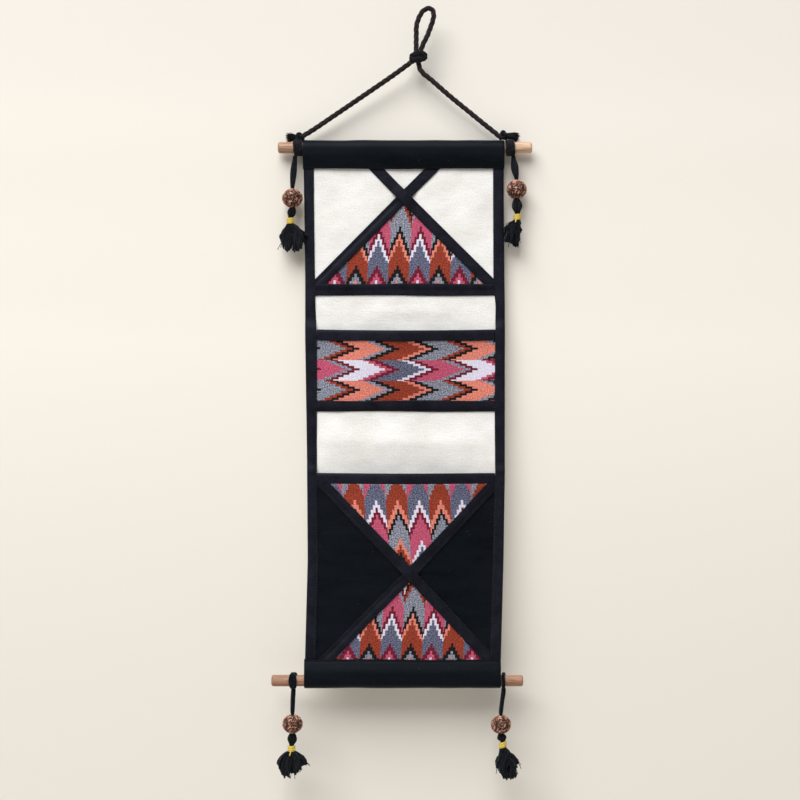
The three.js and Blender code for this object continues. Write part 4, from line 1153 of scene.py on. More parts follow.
def foot_band_stand(x, down):
    """On the pocket's front at its top, on the panel at its foot."""
    return pocket_stand(UPPER, x, down) + FOOT_BAND_OVER * (1 - step_up(down, *FOOT_BAND_DOWN))


def cross_band_stand(x, down):
    """Over the top patch's level edge first, then down on the panel."""
    return LAYER * (2 - step_up(down, *CROSS_BAND_DOWN)) + 0 * x


def band_piece(name, heights, stand):
    """A band as a sheet."""
    surface = band(heights, stand)
    part = sheet_part(grid_lines(0, BAND_WIDTH, 3), grid_lines(*heights, STRIP_STEP), surface)
    piece = add_piece(name + "_cloth", [part], STRIP_BLACK, [name])
    return surface


cross_surface = band_piece("cross_band", CROSS_BAND, cross_band_stand)
foot_band_surface = band_piece("pocket_upper_foot", FOOT_BAND, foot_band_stand)

# %% [markdown]
# ## Flame patches
# Three triangles of flame cloth lie under the crossed straps, one on the panel and two on the lower
# pocket. A patch is a grid that narrows towards the crossing. Its map turns the place on the cloth into
# columns and millimetres, with the slight lean the weave has there.

# %% Crossings
POCKET_TOP = LOWER["mouth"] + LOWER["hem"] + LOWER["sag"]


def on_panel(x, down):
    """The panel is the ground."""
    return 0 * x


def on_lower_pocket(x, down):
    """The lower pocket's front is the ground."""
    return pocket_stand(LOWER, x, down)


# from and to are the places across where the strap on top ends, above and below; other and to_other are
# those of the strap under it.
TOP_CROSS = {
    "middle": (-0.1, 56.8), "from": -28.6, "other": 29.1, "to": 87.0, "to_other": -85.9, "ease": 0.15,
    "base": on_panel, "rests_on": "back_panel", "patch_above": False,
}
POCKET_CROSS = {
    "middle": (5.9, 432.4), "from": -81.0, "other": 90.0, "to": 86.3, "to_other": -78.7, "ease": 0.39,
    "base": on_lower_pocket, "rests_on": "pocket_lower_front", "patch_above": True,
}

# %% Patches
PATCH_APEX = 5.0
PATCH_GRID = 160
# tip is one arrow's tip, across and down; start is how far along the weave it lies, sense which way it runs.
PATCHES = {
    "patch_top": {
        "cross": TOP_CROSS, "ends": ("to_other", "to"), "level": 145.5, "finish": FLAME, "column": COLUMN,
        "tip": (-2.6, 86.1), "lean": -0.063, "start": 79.0, "sense": -1,
    },
    "patch_pocket_upper": {
        "cross": POCKET_CROSS, "ends": ("from", "other"), "level": POCKET_TOP, "finish": FLAME_TURNED,
        "column": 21.3, "tip": (-7.6, 358.7), "lean": 0.065, "start": 24.7, "sense": 1,
    },
    "patch_pocket_lower": {
        "cross": POCKET_CROSS, "ends": ("to_other", "to"), "level": 519.3, "finish": FLAME, "column": COLUMN,
        "tip": (10.6, 465.7), "lean": -0.07, "start": 78.2, "sense": -1.045,
    },
}


def patch_across(row, share, down):
    """Place across on a triangle that opens from the crossing to its level edge."""
    cross = row["cross"]
    middle_x, middle_down = cross["middle"]
    opened = (down - middle_down) / (row["level"] - middle_down)
    left, right = [spread(opened, middle_x, cross[end]) for end in row["ends"]]
    return spread(share / PATCH_GRID, left + CLOTH, right - CLOTH)


def patch_piece(name, row):
    """A patch as a sheet; the map is measured from a tip of the arrows, which lean a little."""
    cross, level = row["cross"], row["level"]
    apex = cross["middle"][1] + math.copysign(PATCH_APEX, level - cross["middle"][1])
    top, foot = min(apex, level), max(apex, level)

    def surface(share, down):
        x = patch_across(row, share, down)
        return place(x, -cross["base"](x, down) - LAYER - cross["ease"] / 2, down)

    def lie(share, down):
        below = down - row["tip"][1]
        across = (patch_across(row, share, down) - row["tip"][0] - row["lean"] * below) / row["column"]
        return across, row["start"] + row["sense"] * below

    part = sheet_part(grid_lines(0, PATCH_GRID, 3), grid_lines(top, foot, 3), surface, lie)
    piece = add_piece(name + "_cloth", [part], row["finish"], [name])


for patch_name, patch_row in PATCHES.items():
    patch_piece(patch_name, patch_row)

# %% [markdown]
# ## Crossed straps
# Over each picture two straps cross, one lying on the other. A strap runs straight from the crossing to
# the window's edge on both sides; across its width it is half on the patch and half on the ground.

# %% Straps
STRAP_HALF = 5.5
STRAP_PUFF = 0.15
STRAP_CLIMB = (-1.2, 0.4)  # where across its width a strap climbs onto a patch
STRAP_RIM = np.array([1, 0.998, 0.994])  # shares of the length close to an end, where it thins out
STRAP_MAP = 100  # length of half a strap on its map
CROSSING_FLAT = 7.0  # how far from the crossing a strap lies level
CROSSING_RAMP = 14.0  # where it has come down again


def way_out(start, way, window):
    """Distance from points along a direction to the window's nearer side."""
    right = window["right_below"] if way[1] > 0 else window["right_above"]
    sideways = ((right if way[0] > 0 else window["left"]) - start[0]) / way[0]
    upright = ((window["foot"] if way[1] > 0 else window["top"]) - start[1]) / way[1]
    return np.minimum(sideways, upright)


def strap(cross, ends, window, over):
    """Surface of a strap from its place across and its share along: -1 up, 0 crossing, 1 down."""
    middle = np.array(cross["middle"])
    ways = [np.array([x, window[side]]) - middle for x, side in zip(ends, ("top", "foot"))]
    up, down = [way / np.linalg.norm(way) for way in ways]
    patch_below = -1 if over else 1  # the side of the strap that a patch below the crossing lies on

    def run(way, sense, across, along):
        start = (middle[0] + across * sense * way[1], middle[1] - across * sense * way[0])
        reach = way_out(start, way, window) + OVERLAP
        far = np.maximum(along * reach, CROSSING_FLAT)
        return start[0] + way[0] * far, start[1] + way[1] * far, along * reach

    def surface(across, share):
        upper = run(up, -1, across, np.clip(-share, 0, 1))
        lower = run(down, 1, across, np.clip(share, 0, 1))
        along = lower[2] - upper[2]
        part = part_way(along, -CROSSING_FLAT, CROSSING_FLAT)
        x = spread(part, upper[0], lower[0])
        height = spread(part, upper[1], lower[1])
        near = 1 - step_up(np.abs(along), CROSSING_FLAT, CROSSING_RAMP)
        patch_side = np.where(along < 0, -patch_below, patch_below)
        has_patch = np.where((along < 0) & (not cross["patch_above"]), 0, 1)
        beside = step_up(across * patch_side, *STRAP_CLIMB) * has_patch
        layers = 1 + np.maximum(near, beside) + (near if over else 0)
        waves = ripple(across, 2 * along, ends[0])
        puff = STRAP_PUFF * np.cos(np.pi / 2 * across / STRAP_HALF) * (1 + 0.8 * waves)
        return place(x, -cross["base"](x, height) - LAYER * layers - cross["ease"] - puff, height)

    return surface


def strap_piece(prefix, cross, window, over):
    """One strap as a sheet."""
    ends = (cross["from"], cross["to"]) if over else (cross["other"], cross["to_other"])
    surface = strap(cross, ends, window, over)
    name = prefix + ("_over" if over else "_under")
    share = np.concatenate([-STRAP_RIM, np.linspace(-0.985, 0.985, 81), STRAP_RIM[::-1]])
    across = grid_lines(-STRAP_HALF, STRAP_HALF, 1.1)
    part = sheet_part(across, share, surface, lambda a, s: (a, STRAP_MAP * s))
    piece = add_piece(name + "_cloth", [part], STRIP_BLACK, [name])
    length = step_lengths(on_grid(surface, 0 * share, share)).sum()
    print(name, "length in mm:", round(length, 1))
    return surface


TOP_WINDOW = {
    "left": inner_left(CROSS_BAND[0]), "right_above": inner_right(HEADING_SEAM),
    "right_below": inner_right(CROSS_BAND[0]), "top": HEADING_SEAM, "foot": CROSS_BAND[0],
}
POCKET_WINDOW = {
    "left": inner_left(POCKET_TOP), "right_above": inner_right(POCKET_TOP),
    "right_below": inner_right(FOOT_SEAM), "top": POCKET_TOP, "foot": FOOT_SEAM,
}
STRAPS = (("strap_top", TOP_CROSS, TOP_WINDOW), ("strap_pocket", POCKET_CROSS, POCKET_WINDOW))
strap_surfaces = [strap_piece(*row, over) for row in STRAPS for over in (True, False)]

# %% [markdown]
# ## Stitching
# Every strip is sewn down close to its edges with black thread. A stitch is a small spindle of sixteen
# triangles. A seam is a line on a surface, given by its two parameters; stitches are set on it at equal
# distances and lie along it, a hair above the cloth.

# %% Stitches
STITCH = {"length": 2.3, "pitch": 3.1, "half_width": 0.28, "half_height": 0.22, "lift": 0.05}
STITCH_UNEVEN = 0.15  # how far a stitch is off its equal distance


def on_surface(surface, u, v, lift):
    """Points a lift in front of a surface, with their direction square to it."""
    tiny = 1e-3
    spot = on_grid(surface, u, v)
    right = on_grid(surface, u + tiny, v) - spot
    lower = on_grid(surface, u, v + tiny) - spot
    out = unit(np.cross(lower, right))
    out = out * np.where(out[:, 1:2] > 0, -1, 1)
    return spot + out * lift, out


def seam(surface, u, v, lift):
    """Stitches along the line (u, v) on a surface."""
    spot, _ = on_surface(surface, u, v, lift)
    length = run_length(spot)
    at = np.arange(STITCH["pitch"], length[-1] - STITCH["pitch"], STITCH["pitch"])
    at = at + rng.uniform(-STITCH_UNEVEN, STITCH_UNEVEN, len(at))
    middle, out = on_surface(surface, np.interp(at, length, u), np.interp(at, length, v), lift)
    run = np.stack([np.interp(at + 0.5, length, c) - np.interp(at - 0.5, length, c) for c in spot.T], axis=1)
    return middle, unit(run), out


def stitch_part(middle, run, out):
    """Spindles: two points and two rings of four, stretched along the run."""
    ring = [(0, 1), (1, 0), (0, -1), (-1, 0)]
    shape = [(-0.5, 0, 0)] + [(end, a, b) for end in (-0.3, 0.3) for a, b in ring] + [(0.5, 0, 0)]
    shape = np.array(shape) * (STITCH["length"], STITCH["half_width"], STITCH["half_height"])
    axes = np.stack([run, np.cross(run, out), out], axis=1)
    points = middle[:, None] + shape @ axes
    start = len(shape) * np.arange(len(middle))[:, None, None]
    pairs = [(i, (i + 1) % 4) for i in range(4)]
    tips = np.array([(0, 1 + i, 1 + j) for i, j in pairs] + [(9, 5 + j, 5 + i) for i, j in pairs])
    walls = np.array([(1 + i, 5 + i, 5 + j, 1 + j) for i, j in pairs])
    faces = [(start + tips).reshape(-1, 3), (start + walls).reshape(-1, 4)]
    lie = np.stack([shape[:, 1], shape[:, 0]], axis=1)
    coords = [np.tile(lie[corners], (len(middle), 1, 1, 1)) for corners in (tips, walls)]
    return points.reshape(-1, 3), faces, coords


# %% Seams
SEAM_INSET = 1.3  # from a strip's edge to its stitching
STRAP_INSET = 1.2
SEAM_REACH = {"binding": (30, 518), "mouth": (-86, 88), "band": (1, 177), "strap": (-0.99, 0.99)}


def sewn():
    """All the seams of the black strips: surface, its two parameters from end to end, cloth's thickness."""
    rows = []
    for row in CASINGS.values():
        rows.append((casing(row)[0], row["sewn"], (SEAM_LINE, SEAM_LINE), CASING))
    for side in (-1, 1):
        rows.append((binding(side)[0], (SEAM_INSET, SEAM_INSET), SEAM_REACH["binding"], CLOTH))
    for pocket in (UPPER, LOWER):
        rows.append((mouth_binding(pocket)[0], SEAM_REACH["mouth"], (SEAM_INSET, SEAM_INSET), CLOTH))
    for surface, (top, foot) in ((cross_surface, CROSS_BAND), (foot_band_surface, FOOT_BAND)):
        for height in (top + SEAM_INSET, foot - SEAM_INSET):
            rows.append((surface, SEAM_REACH["band"], (height, height), CLOTH))
    for surface in strap_surfaces:
        for across in (-STRAP_HALF + STRAP_INSET, STRAP_HALF - STRAP_INSET):
            rows.append((surface, (across, across), SEAM_REACH["strap"], CLOTH))
    share = np.linspace(0, 1, 240)
    seams = [seam(face, spread(share, *u), spread(share, *v), thick / 2 + STITCH["lift"])
             for face, u, v, thick in rows]
    return [stitch_part(*line) for line in seams]


add_piece("stitching", sewn(), YARN_BLACK)

# %% [markdown]
# ## Tassels
# A tassel is a hank of black yarn. Its strip runs through a gnarled seed bead, swells to a head, is
# bound with yellow thread and falls as a skirt of loose yarns that curl and bend as they like. The hem is
# drawn as a line from left to right below the binding, different for each tassel.

# %% Tassel measures
# strip, bead and wrap are across and up in the shared frame; a hem is across and down from the binding.
TASSELS = {
    "top_left": {
        "strip": (-134.6, -145.0), "bead": (-136.8, -187.5), "wrap": (-138.6, -210.4), "bulge": 3.5,
        "loop": 0.0, "head": 4.9, "flare": 1.0, "shoulder": 0.5, "curl": 2.0, "depth": 15, "tilt": 0.0,
        "tail": None,
        "hem": [(-9, 10), (-9, 16), (-10, 23), (-4.5, 28.5), (3, 29.5), (9.5, 27), (14.5, 22), (16.3, 14)],
    },
    "top_right": {
        "strip": (83.9, -145.0), "bead": (86.7, -178.8), "wrap": (87.6, -206.6), "bulge": 4.2,
        "loop": 0.0, "head": 5.6, "flare": 0.8, "shoulder": 0.42, "curl": 1.4, "depth": 15, "tilt": 0.0,
        "tail": (-1.7, -3.5),
        "hem": [(-12.5, 6), (-13, 14), (-12.5, 22), (-8, 23.5), (-2, 26), (-0.6, 27), (1.5, 20), (3, 11)],
    },
    "foot_left": {
        "strip": (-136.1, -669.4), "bead": (-136.7, -711.7), "wrap": (-137.6, -736.4), "bulge": 2.5,
        "loop": 4.6, "head": 5.3, "flare": 1.0, "shoulder": 0.36, "curl": 1.4, "depth": 19, "tilt": 0.0,
        "tail": (-0.9, -4.0),
        "hem": [
            (-13.5, 9), (-13.5, 14), (-11, 18.5), (-5, 25.5), (-1, 25.5), (3, 24.5), (7, 19), (11, 18.5),
            (17, 13.5),
        ],
    },
    "foot_right": {
        "strip": (73.9, -669.4), "bead": (71.1, -712.2), "wrap": (72.9, -732.6), "bulge": 2.3,
        "loop": 2.3, "head": 5.3, "flare": 0.6, "shoulder": 0.5, "curl": 1.4, "depth": 17, "tilt": 0.25,
        "tail": None,
        "hem": [
            (-5, 12), (-6, 18), (-6.5, 25), (-0.5, 31), (6, 32), (10.5, 29), (15, 26.5), (18.4, 20.5),
            (16.5, 14),
        ],
    },
}
TASSEL_Y = -4.5
BEAD_RADIUS = 10.5
BEAD_HALF = 9.5
WRAP_HALF = 3.2


def tassel_y(row, z):
    """Depth at a height: at the rod's middle above, forward from the bead down."""
    top = row["strip"][1]
    return TASSEL_Y * step_up(top - z, 0, top - row["bead"][1] - BEAD_HALF)


# %% [markdown]
# ## Yarn of the tassels
# The hank above the skirt is a bundle: two dozen yarns spread over a disc whose radius changes along the
# hank, wide at the strip's bulge, narrow in the bead, wide again in the head and tied in at the binding.

# %% Hank
HANK = {"yarns": 24, "yarn": 0.75, "sides": 6, "turn": 2.2, "step": 1.3}
HANK_EDGE = 0.7  # from the hank's outside to the middle of its outermost yarns
LOOP_YARN = 1.25
LOOP_PINCH = 0.55  # how far apart the turns still are above and below the rod, as a part


def hank_line(row):
    """Middle line and radius of the hank from the strip's top to below the binding."""
    (strip_x, strip_z), (bead_x, bead_z), (wrap_x, wrap_z) = row["strip"], row["bead"], row["wrap"]
    top = strip_z - ROD_RADIUS - GAP - 1.2 if row["loop"] else strip_z
    bead_top, bead_foot = bead_z + BEAD_HALF, bead_z - BEAD_HALF
    wrap_top, wrap_foot = wrap_z + WRAP_HALF, wrap_z - WRAP_HALF
    stations = [
        (strip_x, top, 2.2),
        (strip_x, top - 3, 2.5),
        ((strip_x + bead_x) / 2, (top + bead_top) / 2, row["bulge"]),
        (bead_x, bead_top + 1.6, 2.1),
        (bead_x, bead_top - 1, 1.6),
        (bead_x, bead_foot + 1, 1.6),
        (bead_x, bead_foot - 1, 3.4),
        ((wrap_x + bead_x) / 2, (wrap_top + bead_foot) / 2, row["head"]),
        (wrap_x, wrap_top + 0.6, 2.7),
        (wrap_x, wrap_foot - 0.6, 2.5),
    ]
    across, height, radius = np.array(stations).T
    return smooth_line(np.stack([across, tassel_y(row, height), height, radius], axis=1), HANK["step"])


def hank(row):
    """Yarns on a disc that swells and shrinks along the line and turns slowly round it."""
    line = hank_line(row)
    first, second = square_frame(line[:, :3], BACKWARD)
    turn = np.linspace(0, HANK["turn"], len(line))
    spot = disc(HANK["yarns"])[:, None]
    a = spot[..., 0] * np.cos(turn) - spot[..., 1] * np.sin(turn)
    b = spot[..., 0] * np.sin(turn) + spot[..., 1] * np.cos(turn)
    reach = np.maximum(line[:, 3] - HANK_EDGE, 0.4)
    yarns = line[:, :3] + (a * reach)[..., None] * first + (b * reach)[..., None] * second
    return tubes(yarns, np.full(yarns.shape[:2], HANK["yarn"]), HANK["sides"], BACKWARD)


def rod_loop(row):
    """Yarn wound side by side round the foot rod; the turns draw together above and below the rod."""
    x, z = row["strip"]
    half = row["loop"] - 1.0
    line = winding((x - half, x + half), z, max(round(row["loop"]), 2))
    gather = LOOP_PINCH + (1 - LOOP_PINCH) * (line[:, 1] / WRAP_RADIUS) ** 2
    line[:, 0] = x + (line[:, 0] - x) * gather
    return tube(line, LOOP_YARN, 8, LENGTHWAYS)


# %% Skirt
SKIRT = {"yarns": 210, "yarn": 0.72, "sides": 6, "rings": 12}
LOCKS = 17
GATHER = 0.6  # how far a yarn's tip is drawn to the middle of its lock
HEM_WIDE = 1.12  # how much farther than the disc the tips spread along the hem
CURL_AXES = (0.8, 0.8, 0.3)  # curl across, in depth and up
STRAYS = {"threads": 9, "radius": 0.32, "sides": 4, "rings": 16}


def below_wrap(row):
    """Where the skirt comes out of its binding."""
    return np.array([row["wrap"][0], TASSEL_Y, row["wrap"][1] - WRAP_HALF])


def skirt(row):
    """Yarns from the binding to the hem: a quadratic curve plus a curl, a sine that grows towards the tip.

    Yarns near each other gather into a lock: they draw together, curl alike and end at about one length.
    """
    number = SKIRT["yarns"]
    hem = np.array(row["hem"], dtype=float)
    spot = disc(number)
    middles = disc(LOCKS)
    lock = np.argmin(np.linalg.norm(spot[:, None] - middles, axis=2), axis=1)
    tip = spot + GATHER * (middles[lock] - spot)
    length = run_length(hem)
    at = (0.5 + 0.5 * np.clip(HEM_WIDE * tip[:, 0] + rng.normal(0, 0.05, number), -1, 1)) * length[-1]
    hem_x, hem_drop = np.interp(at, length, hem[:, 0]), np.interp(at, length, hem[:, 1])
    cut = rng.uniform(0.74, 1.03, LOCKS)[lock] * rng.uniform(0.92, 1.03, number)
    depth = row["depth"] / 2 * tip[:, 1]
    tips = np.stack([hem_x * cut, depth * cut, -hem_drop * cut], axis=1)
    bends = np.stack([hem_x * row["flare"] * cut, 1.1 * depth, -row["shoulder"] * hem_drop * cut], axis=1)
    roots = np.stack([2.4 * spot[:, 0], 2.2 * spot[:, 1], 0 * hem_x + 0.8], axis=1)
    t = np.linspace(0, 1, SKIRT["rings"])[:, None]
    start, speed = rng.uniform(0, 2 * np.pi, (2, LOCKS, 1, 1))[:, lock]
    aim = rng.normal(0, 1, (LOCKS, 1, 3))[lock] + rng.normal(0, 0.45, (number, 1, 3))
    curl = row["curl"] * aim * CURL_AXES * np.sin((4 + speed) * t + start) * np.minimum(2 * t, 1)
    lines = curves(roots, bends, tips, t) + curl + below_wrap(row)
    radii = SKIRT["yarn"] * np.broadcast_to(1 + 0.12 * np.sin(9 * t[:, 0]), lines.shape[:2])
    return tubes(lines, radii, SKIRT["sides"], THREAD_ASIDE)


def strays(row):
    """A few thin loose threads that stick out of the skirt, each on a wavy line."""
    number = STRAYS["threads"]
    hem = np.array(row["hem"], dtype=float)
    aim = hem[rng.integers(0, len(hem), number)] * rng.uniform(0.95, 1.12, (number, 1)) * (1, -1)
    tips = np.stack([aim[:, 0], rng.uniform(-6, 2, number), aim[:, 1]], axis=1)
    t = np.linspace(0, 1, STRAYS["rings"])[:, None]
    wave = rng.normal(0, 1.1, (number, 1, 3)) * np.sin(rng.uniform(5, 11, (number, 1, 1)) * t) * t
    lines = t * tips[:, None] * (1 + 0.5 * (1 - t) * (1, 1, 0)) + wave + below_wrap(row)
    return tubes(lines, np.full(lines.shape[:2], STRAYS["radius"]), STRAYS["sides"], THREAD_ASIDE)


# %% Tassels' yarn
def tassel_yarn(name):
    """Strip, head and skirt of one tassel."""
    row = TASSELS[name]
    parts = [hank(row), skirt(row), strays(row)]
    if row["loop"]:
        parts.append(rod_loop(row))
    return add_piece("yarn_" + name, parts, YARN_BLACK, ["tassel_" + name])


for tassel_name in TASSELS:
    tassel_yarn(tassel_name)

# %% [markdown]
# ## Seed beads
# The beads are dried seeds with five seams from pole to pole and a brain-like relief of ridges and pits.
# Ridges lie where a sum of sine waves in random directions is near zero. The height is kept as an
# attribute, and the material paints pits dark and worn ridges pink by it.

# %% Seed finish
RIDGE = "ridge"


def seed():
    """Dark pits, brown flanks, pinkish worn ridges, mottled by noise."""
    finish, tree, shader = new_finish("seed", 0.65)
    height = add(tree, "Attribute", attribute_name=RIDGE).outputs["Fac"]
    in_mm = {"Vector": add(tree, "TexCoord").outputs["Object"], "Scale": (1000, 1000, 1000)}
    mottle = noise(tree, add(tree, "Mapping", in_mm).outputs[0], 0.9, 4.0)
    level = blend(tree, (height, 1), (count(tree, "SUBTRACT", mottle, 0.5), 0.5))
    stops = [
        (0.05, paint(42, 26, 19)), (0.38, paint(96, 63, 50)), (0.72, paint(156, 109, 91)),
        (1.0, paint(224, 178, 158)),
    ]
    coat(tree, shader, ramp(tree, level, stops)[0], mottle, 0.3)
    return finish


# %% Beads
SEED = seed()
BEAD_BORE = 2.2
BEAD_RELIEF = 0.13
BEAD_SEAMS = 5
SEAM_EDGE = 0.12  # half a seam's width, as a part of the way to the next
BEAD_POLE = 0.22  # angle from the axis at which the bead's outside ends at the bore
BEAD_GRID = (128, 72)  # points round the bead and from pole to pole
WAVES = 14
WAVE_NUMBER = 20


def relief(ball):
    """1 on ridges and 0 in pits: one less the size of a sum of sines in random directions."""
    waves = rng.normal(0, 1, (WAVES, 3))
    waves = WAVE_NUMBER * waves / np.linalg.norm(waves, axis=1, keepdims=True)
    shift = rng.uniform(0, 2 * np.pi, WAVES)
    hills = np.sin(ball @ waves.T + shift).sum(axis=-1) / math.sqrt(WAVES)
    return np.clip(1.05 - 1.5 * np.abs(hills), 0, 1)


def bead(name):
    """Round seed: radius falls by the relief and by narrow seams from pole to pole; the bore is its axis."""
    row = TASSELS[name]
    turn = np.linspace(0, 2 * np.pi, BEAD_GRID[0] + 1)[:-1]
    around, fall = np.meshgrid(turn, np.linspace(BEAD_POLE, np.pi - BEAD_POLE, BEAD_GRID[1]))
    ball = np.stack([np.sin(fall) * np.cos(around), np.sin(fall) * np.sin(around), np.cos(fall)], axis=-1)
    from_seam = np.abs((around * BEAD_SEAMS / (2 * np.pi) + 0.15 * np.sin(3 * fall) + 0.3) % 1 - 0.5)
    ridge = relief(ball) * step_up(from_seam, 0.0, SEAM_EDGE)
    radius = 1 - BEAD_RELIEF * (1 - ridge)
    outer = ball * radius[..., None] * (BEAD_RADIUS, BEAD_RADIUS, BEAD_HALF / math.cos(BEAD_POLE))
    bore = np.stack([np.cos(turn), np.sin(turn), 0 * turn], axis=-1) * BEAD_BORE
    walls = np.stack([bore + (0, 0, z) for z in (-BEAD_HALF + 1, 0, BEAD_HALF - 1)])
    grid = np.concatenate([outer, walls]) + (row["bead"][0], TASSEL_Y, row["bead"][1])
    index = np.arange(grid.size // 3).reshape(grid.shape[:2])
    index = np.concatenate([index, index[:1]])
    index = np.concatenate([index, index[:, :1]], axis=1)
    cut = np.stack(np.meshgrid(*map(np.arange, index.shape[::-1])), axis=-1).astype(float)
    order = np.arange(index.size).reshape(index.shape)
    part = (grid.reshape(-1, 3), [quads(index)], [cut.reshape(-1, 2)[quads(order)]])
    piece = add_piece("seed_" + name, [part], SEED, ["bead_" + name])
    level = np.concatenate([ridge, np.zeros((len(walls), len(turn)))]).ravel()
    piece.data.attributes.new(RIDGE, "FLOAT", "POINT").data.foreach_set("value", level.astype(np.float32))


for tassel_name in TASSELS:
    bead(tassel_name)

# %% [markdown]
# ## Yellow binding thread
# Each head is bound with a few turns of yellow thread. It is one helix wound tight, with a slanting turn
# and a half over it, and on two tassels the cut end sticks out.

# %% Yellow thread
def yellow_thread():
    """Golden cotton with a slight gloss; the ply shows as slanted grooves."""
    finish, tree, shader = new_finish("yellow_thread", 0.6, 0.2, (1.0, 0.9, 0.6, 1))
    ply = noise(tree, on_map(tree, (1.5, 0.5, 1), 0.7), 1.4)
    stops = [(0.3, paint(165, 139, 55)), (0.5, paint(211, 184, 81)), (0.7, paint(224, 201, 114))]
    coat(tree, shader, ramp(tree, ply, stops)[0], ply, 0.15)
    return finish


# %% Thread bindings
YELLOW = yellow_thread()
THREAD_RADIUS = 0.55
THREAD_SIDES = 7
THREAD_STEPS = 26  # points of one turn
WINDS = (
    {"turns": 6, "radius": 3.3, "half": WRAP_HALF - 0.4, "start": 0.0},
    {"turns": 1.6, "radius": 3.7, "half": 1.8, "start": 1.0},
)


def wound_thread(row, wind):
    """A helix about the head's neck: height falls evenly, tilted by the row's tilt."""
    t = np.linspace(0, 1, int(THREAD_STEPS * wind["turns"]))
    angle = 2 * np.pi * wind["turns"] * t + wind["start"]
    x, y = wind["radius"] * np.cos(angle), -wind["radius"] * np.sin(angle)
    z = wind["half"] * (1 - 2 * t) + row["tilt"] * x
    return np.stack([row["wrap"][0] + x, TASSEL_Y + y, row["wrap"][1] + z], axis=1)


def thread_tail(row):
    """The cut end: out of the binding, forward and down."""
    side, drop = row["tail"]
    start = np.array([row["wrap"][0] + side, TASSEL_Y, row["wrap"][1]])
    return smooth_line(start + np.array([(0.8, -3.2, -1), (0, -4.6, -3), (-0.6, -6.5, drop - 2)]), 0.5)


def thread_binding(name):
    """The windings and, where it shows, the cut end."""
    row = TASSELS[name]
    runs = [wound_thread(row, wind) for wind in WINDS]
    if row["tail"]:
        runs.append(thread_tail(row))
    parts = [tube(run, THREAD_RADIUS, THREAD_SIDES, UPWARD + 0.1 * BACKWARD) for run in runs]
    add_piece("thread_" + name, parts, YELLOW, ["wrap_" + name])


for tassel_name in TASSELS:
    thread_binding(tassel_name)

# %% [markdown]
# ## Floor, wall and light
# The hanging is shown against a pale wall, in soft daylight from high on the left. The wall is nearest
# behind the heading and leans back a little above and below, so the shadow widens there. It is a
# one-sided backdrop that only the camera meets, so the back can still be lit and looked at. Its colour
# is painted darker at the top, as shade against the extra light that its lean catches there, and it is
# darker towards the bottom. The floor lies well below the tassels.

# %% Wall and floor
STAGE_HALF = 2500.0
FLOOR_HEIGHT = -1400.0
FLOOR_PALE = (0.46, 0.44, 0.41)
FLOOR_SHADES = ((FLOOR_HEIGHT, 1.0), (0, 1.0))
WALL_PALE = (0.83, 0.787, 0.715)
# the wall is painted darker at the top, as shade against the extra light its lean catches there, and darker
# towards the bottom
WALL_PAINTED_SHADE = (
    (-1400, 0.88), (-680, 0.9), (-530, 0.925), (-330, 0.98), (-190, 0.89), (-60, 0.795), (0, 0.775),
)  # height and share of the wall's tone
WALL_NEAR = 7.8
WALL_LEANS = ((-1, -250.0, 0.07), (1, -130.0, 0.15))  # down or up, where the lean starts, slope
WALL_EASE = 40.0


def wall_depth(height):
    """Nearest behind the heading; each lean is a slope eased in, half of its run plus its hypotenuse."""
    depth = np.full_like(height, WALL_NEAR)
    for way, start, slope in WALL_LEANS:
        run = way * (height - start)
        depth += slope * (run + np.hypot(run, WALL_EASE)) / 2
    return depth


def stage_finish(name, pale, shades):
    """A matt tone set by height between the floor and the origin."""
    finish, tree, shader = new_finish(name, 0.9)
    up = add(tree, "SeparateXYZ", {0: add(tree, "TexCoord").outputs["Object"]}).outputs[2]
    climb = count(tree, "SUBTRACT", up, FLOOR_HEIGHT * MM)
    climb = count(tree, "DIVIDE", climb, -FLOOR_HEIGHT * MM)
    stops = [(1 - height / FLOOR_HEIGHT, (*(share * c for c in pale), 1)) for height, share in shades]
    tree.links.new(ramp(tree, climb, stops)[0], shader.inputs["Base Color"])
    return finish


def stage_piece(name, depths, heights, finish):
    """A broad strip whose section is a line of depths and heights."""
    mesh = bpy.data.meshes.new(name)
    points = [(side * STAGE_HALF * MM, y * MM, z * MM) for y, z in zip(depths, heights) for side in (-1, 1)]
    mesh.from_pydata(points, [], [(2 * i, 2 * i + 1, 2 * i + 3, 2 * i + 2) for i in range(len(depths) - 1)])
    mesh.polygons.foreach_set("use_smooth", [True] * len(mesh.polygons))
    mesh.materials.append(finish)
    piece = bpy.data.objects.new(name, mesh)
    bpy.context.scene.collection.objects.link(piece)
    return piece


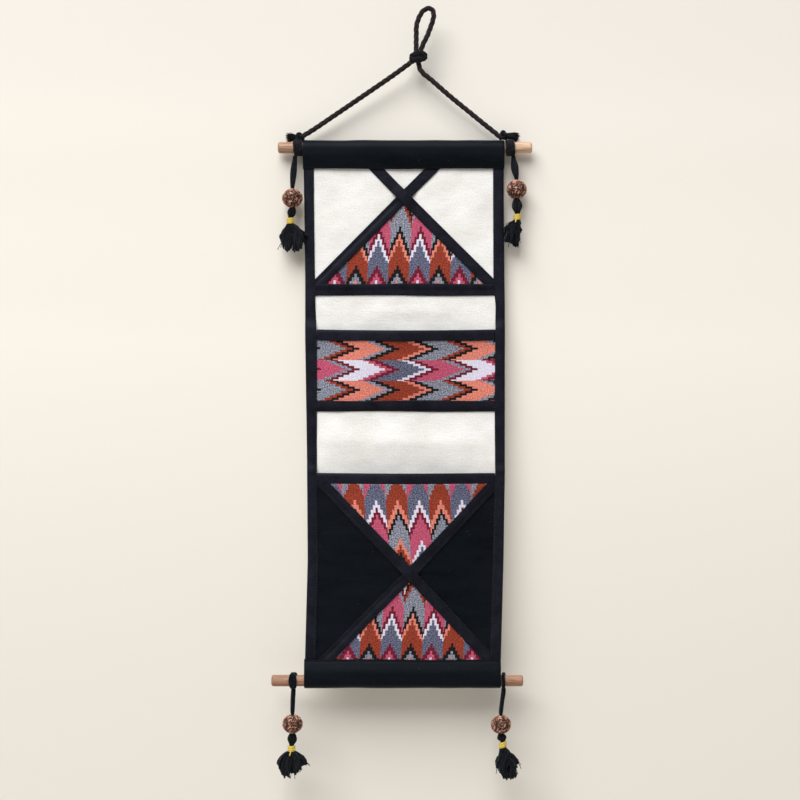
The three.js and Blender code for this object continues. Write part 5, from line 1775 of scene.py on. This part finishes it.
def one_sided(piece):
    """Lets the view through from behind, and keeps the piece from shading or tinting anything."""
    tree = piece.data.materials[0].node_tree
    front = count(tree, "SUBTRACT", 1.0, add(tree, "NewGeometry").outputs["Backfacing"])
    tree.links.new(front, tree.nodes["Principled BSDF"].inputs["Alpha"])
    for ray in ("diffuse", "glossy", "transmission", "shadow"):
        setattr(piece, "visible_" + ray, False)


wall_heights = np.linspace(FLOOR_HEIGHT, -FLOOR_HEIGHT, 141)
wall_depths = wall_depth(wall_heights)
wall_finish = stage_finish("wall", WALL_PALE, WALL_PAINTED_SHADE)
one_sided(stage_piece("wall", wall_depths, wall_heights, wall_finish))
floor_depths = [-STAGE_HALF, float(wall_depths[0])]
floor_finish = stage_finish("floor", FLOOR_PALE, FLOOR_SHADES)
stage_piece("floor", floor_depths, [FLOOR_HEIGHT] * 2, floor_finish)

# %% Light
CREAM = [(0.38, (0.86, 0.815, 0.72, 1)), (0.62, (0.965, 0.905, 0.825, 1))]
DAYLIGHT = [(0.0, (0.19, 0.19, 0.19, 1)), (0.5, (0.26, 0.26, 0.26, 1)), (1.0, (0.42, 0.435, 0.46, 1))]


def light_around():
    """Grey daylight before the hanging and cream behind it, as a wall gives back, both paler upwards."""
    world = bpy.data.worlds.new("studio")
    world.use_nodes = True
    tree = world.node_tree
    way = add(tree, "SeparateXYZ", {0: add(tree, "TexCoord").outputs["Generated"]}).outputs
    rise = add(tree, "Math", {0: way[2], 1: 0.5, 2: 0.5}, operation="MULTIPLY_ADD").outputs[0]
    behind = count(tree, "GREATER_THAN", way[1], 0.0)
    colour = mixed(tree, behind, ramp(tree, rise, DAYLIGHT)[0], ramp(tree, rise, CREAM)[0])
    tree.links.new(colour, tree.nodes["Background"].inputs["Color"])
    return world


def soft_light(name, spot, aim, size, power):
    """A square soft light at a spot, aimed at a point, all in millimetres."""
    data = bpy.data.lights.new(name, "AREA")
    data.size = size * MM
    data.energy = power
    lamp = bpy.data.objects.new(name, data)
    lamp.location = [MM * c for c in spot]
    way = np.array(aim) - np.array(spot)
    flat = math.hypot(way[0], way[1])
    lamp.rotation_euler = (math.pi / 2 + math.atan2(way[2], flat), 0, math.atan2(-way[0], way[1]))
    bpy.context.scene.collection.objects.link(lamp)


bpy.context.scene.world = light_around()
soft_light("window", (-1450, -3200, 3700), (-30, 0, -390), 4300, 450)
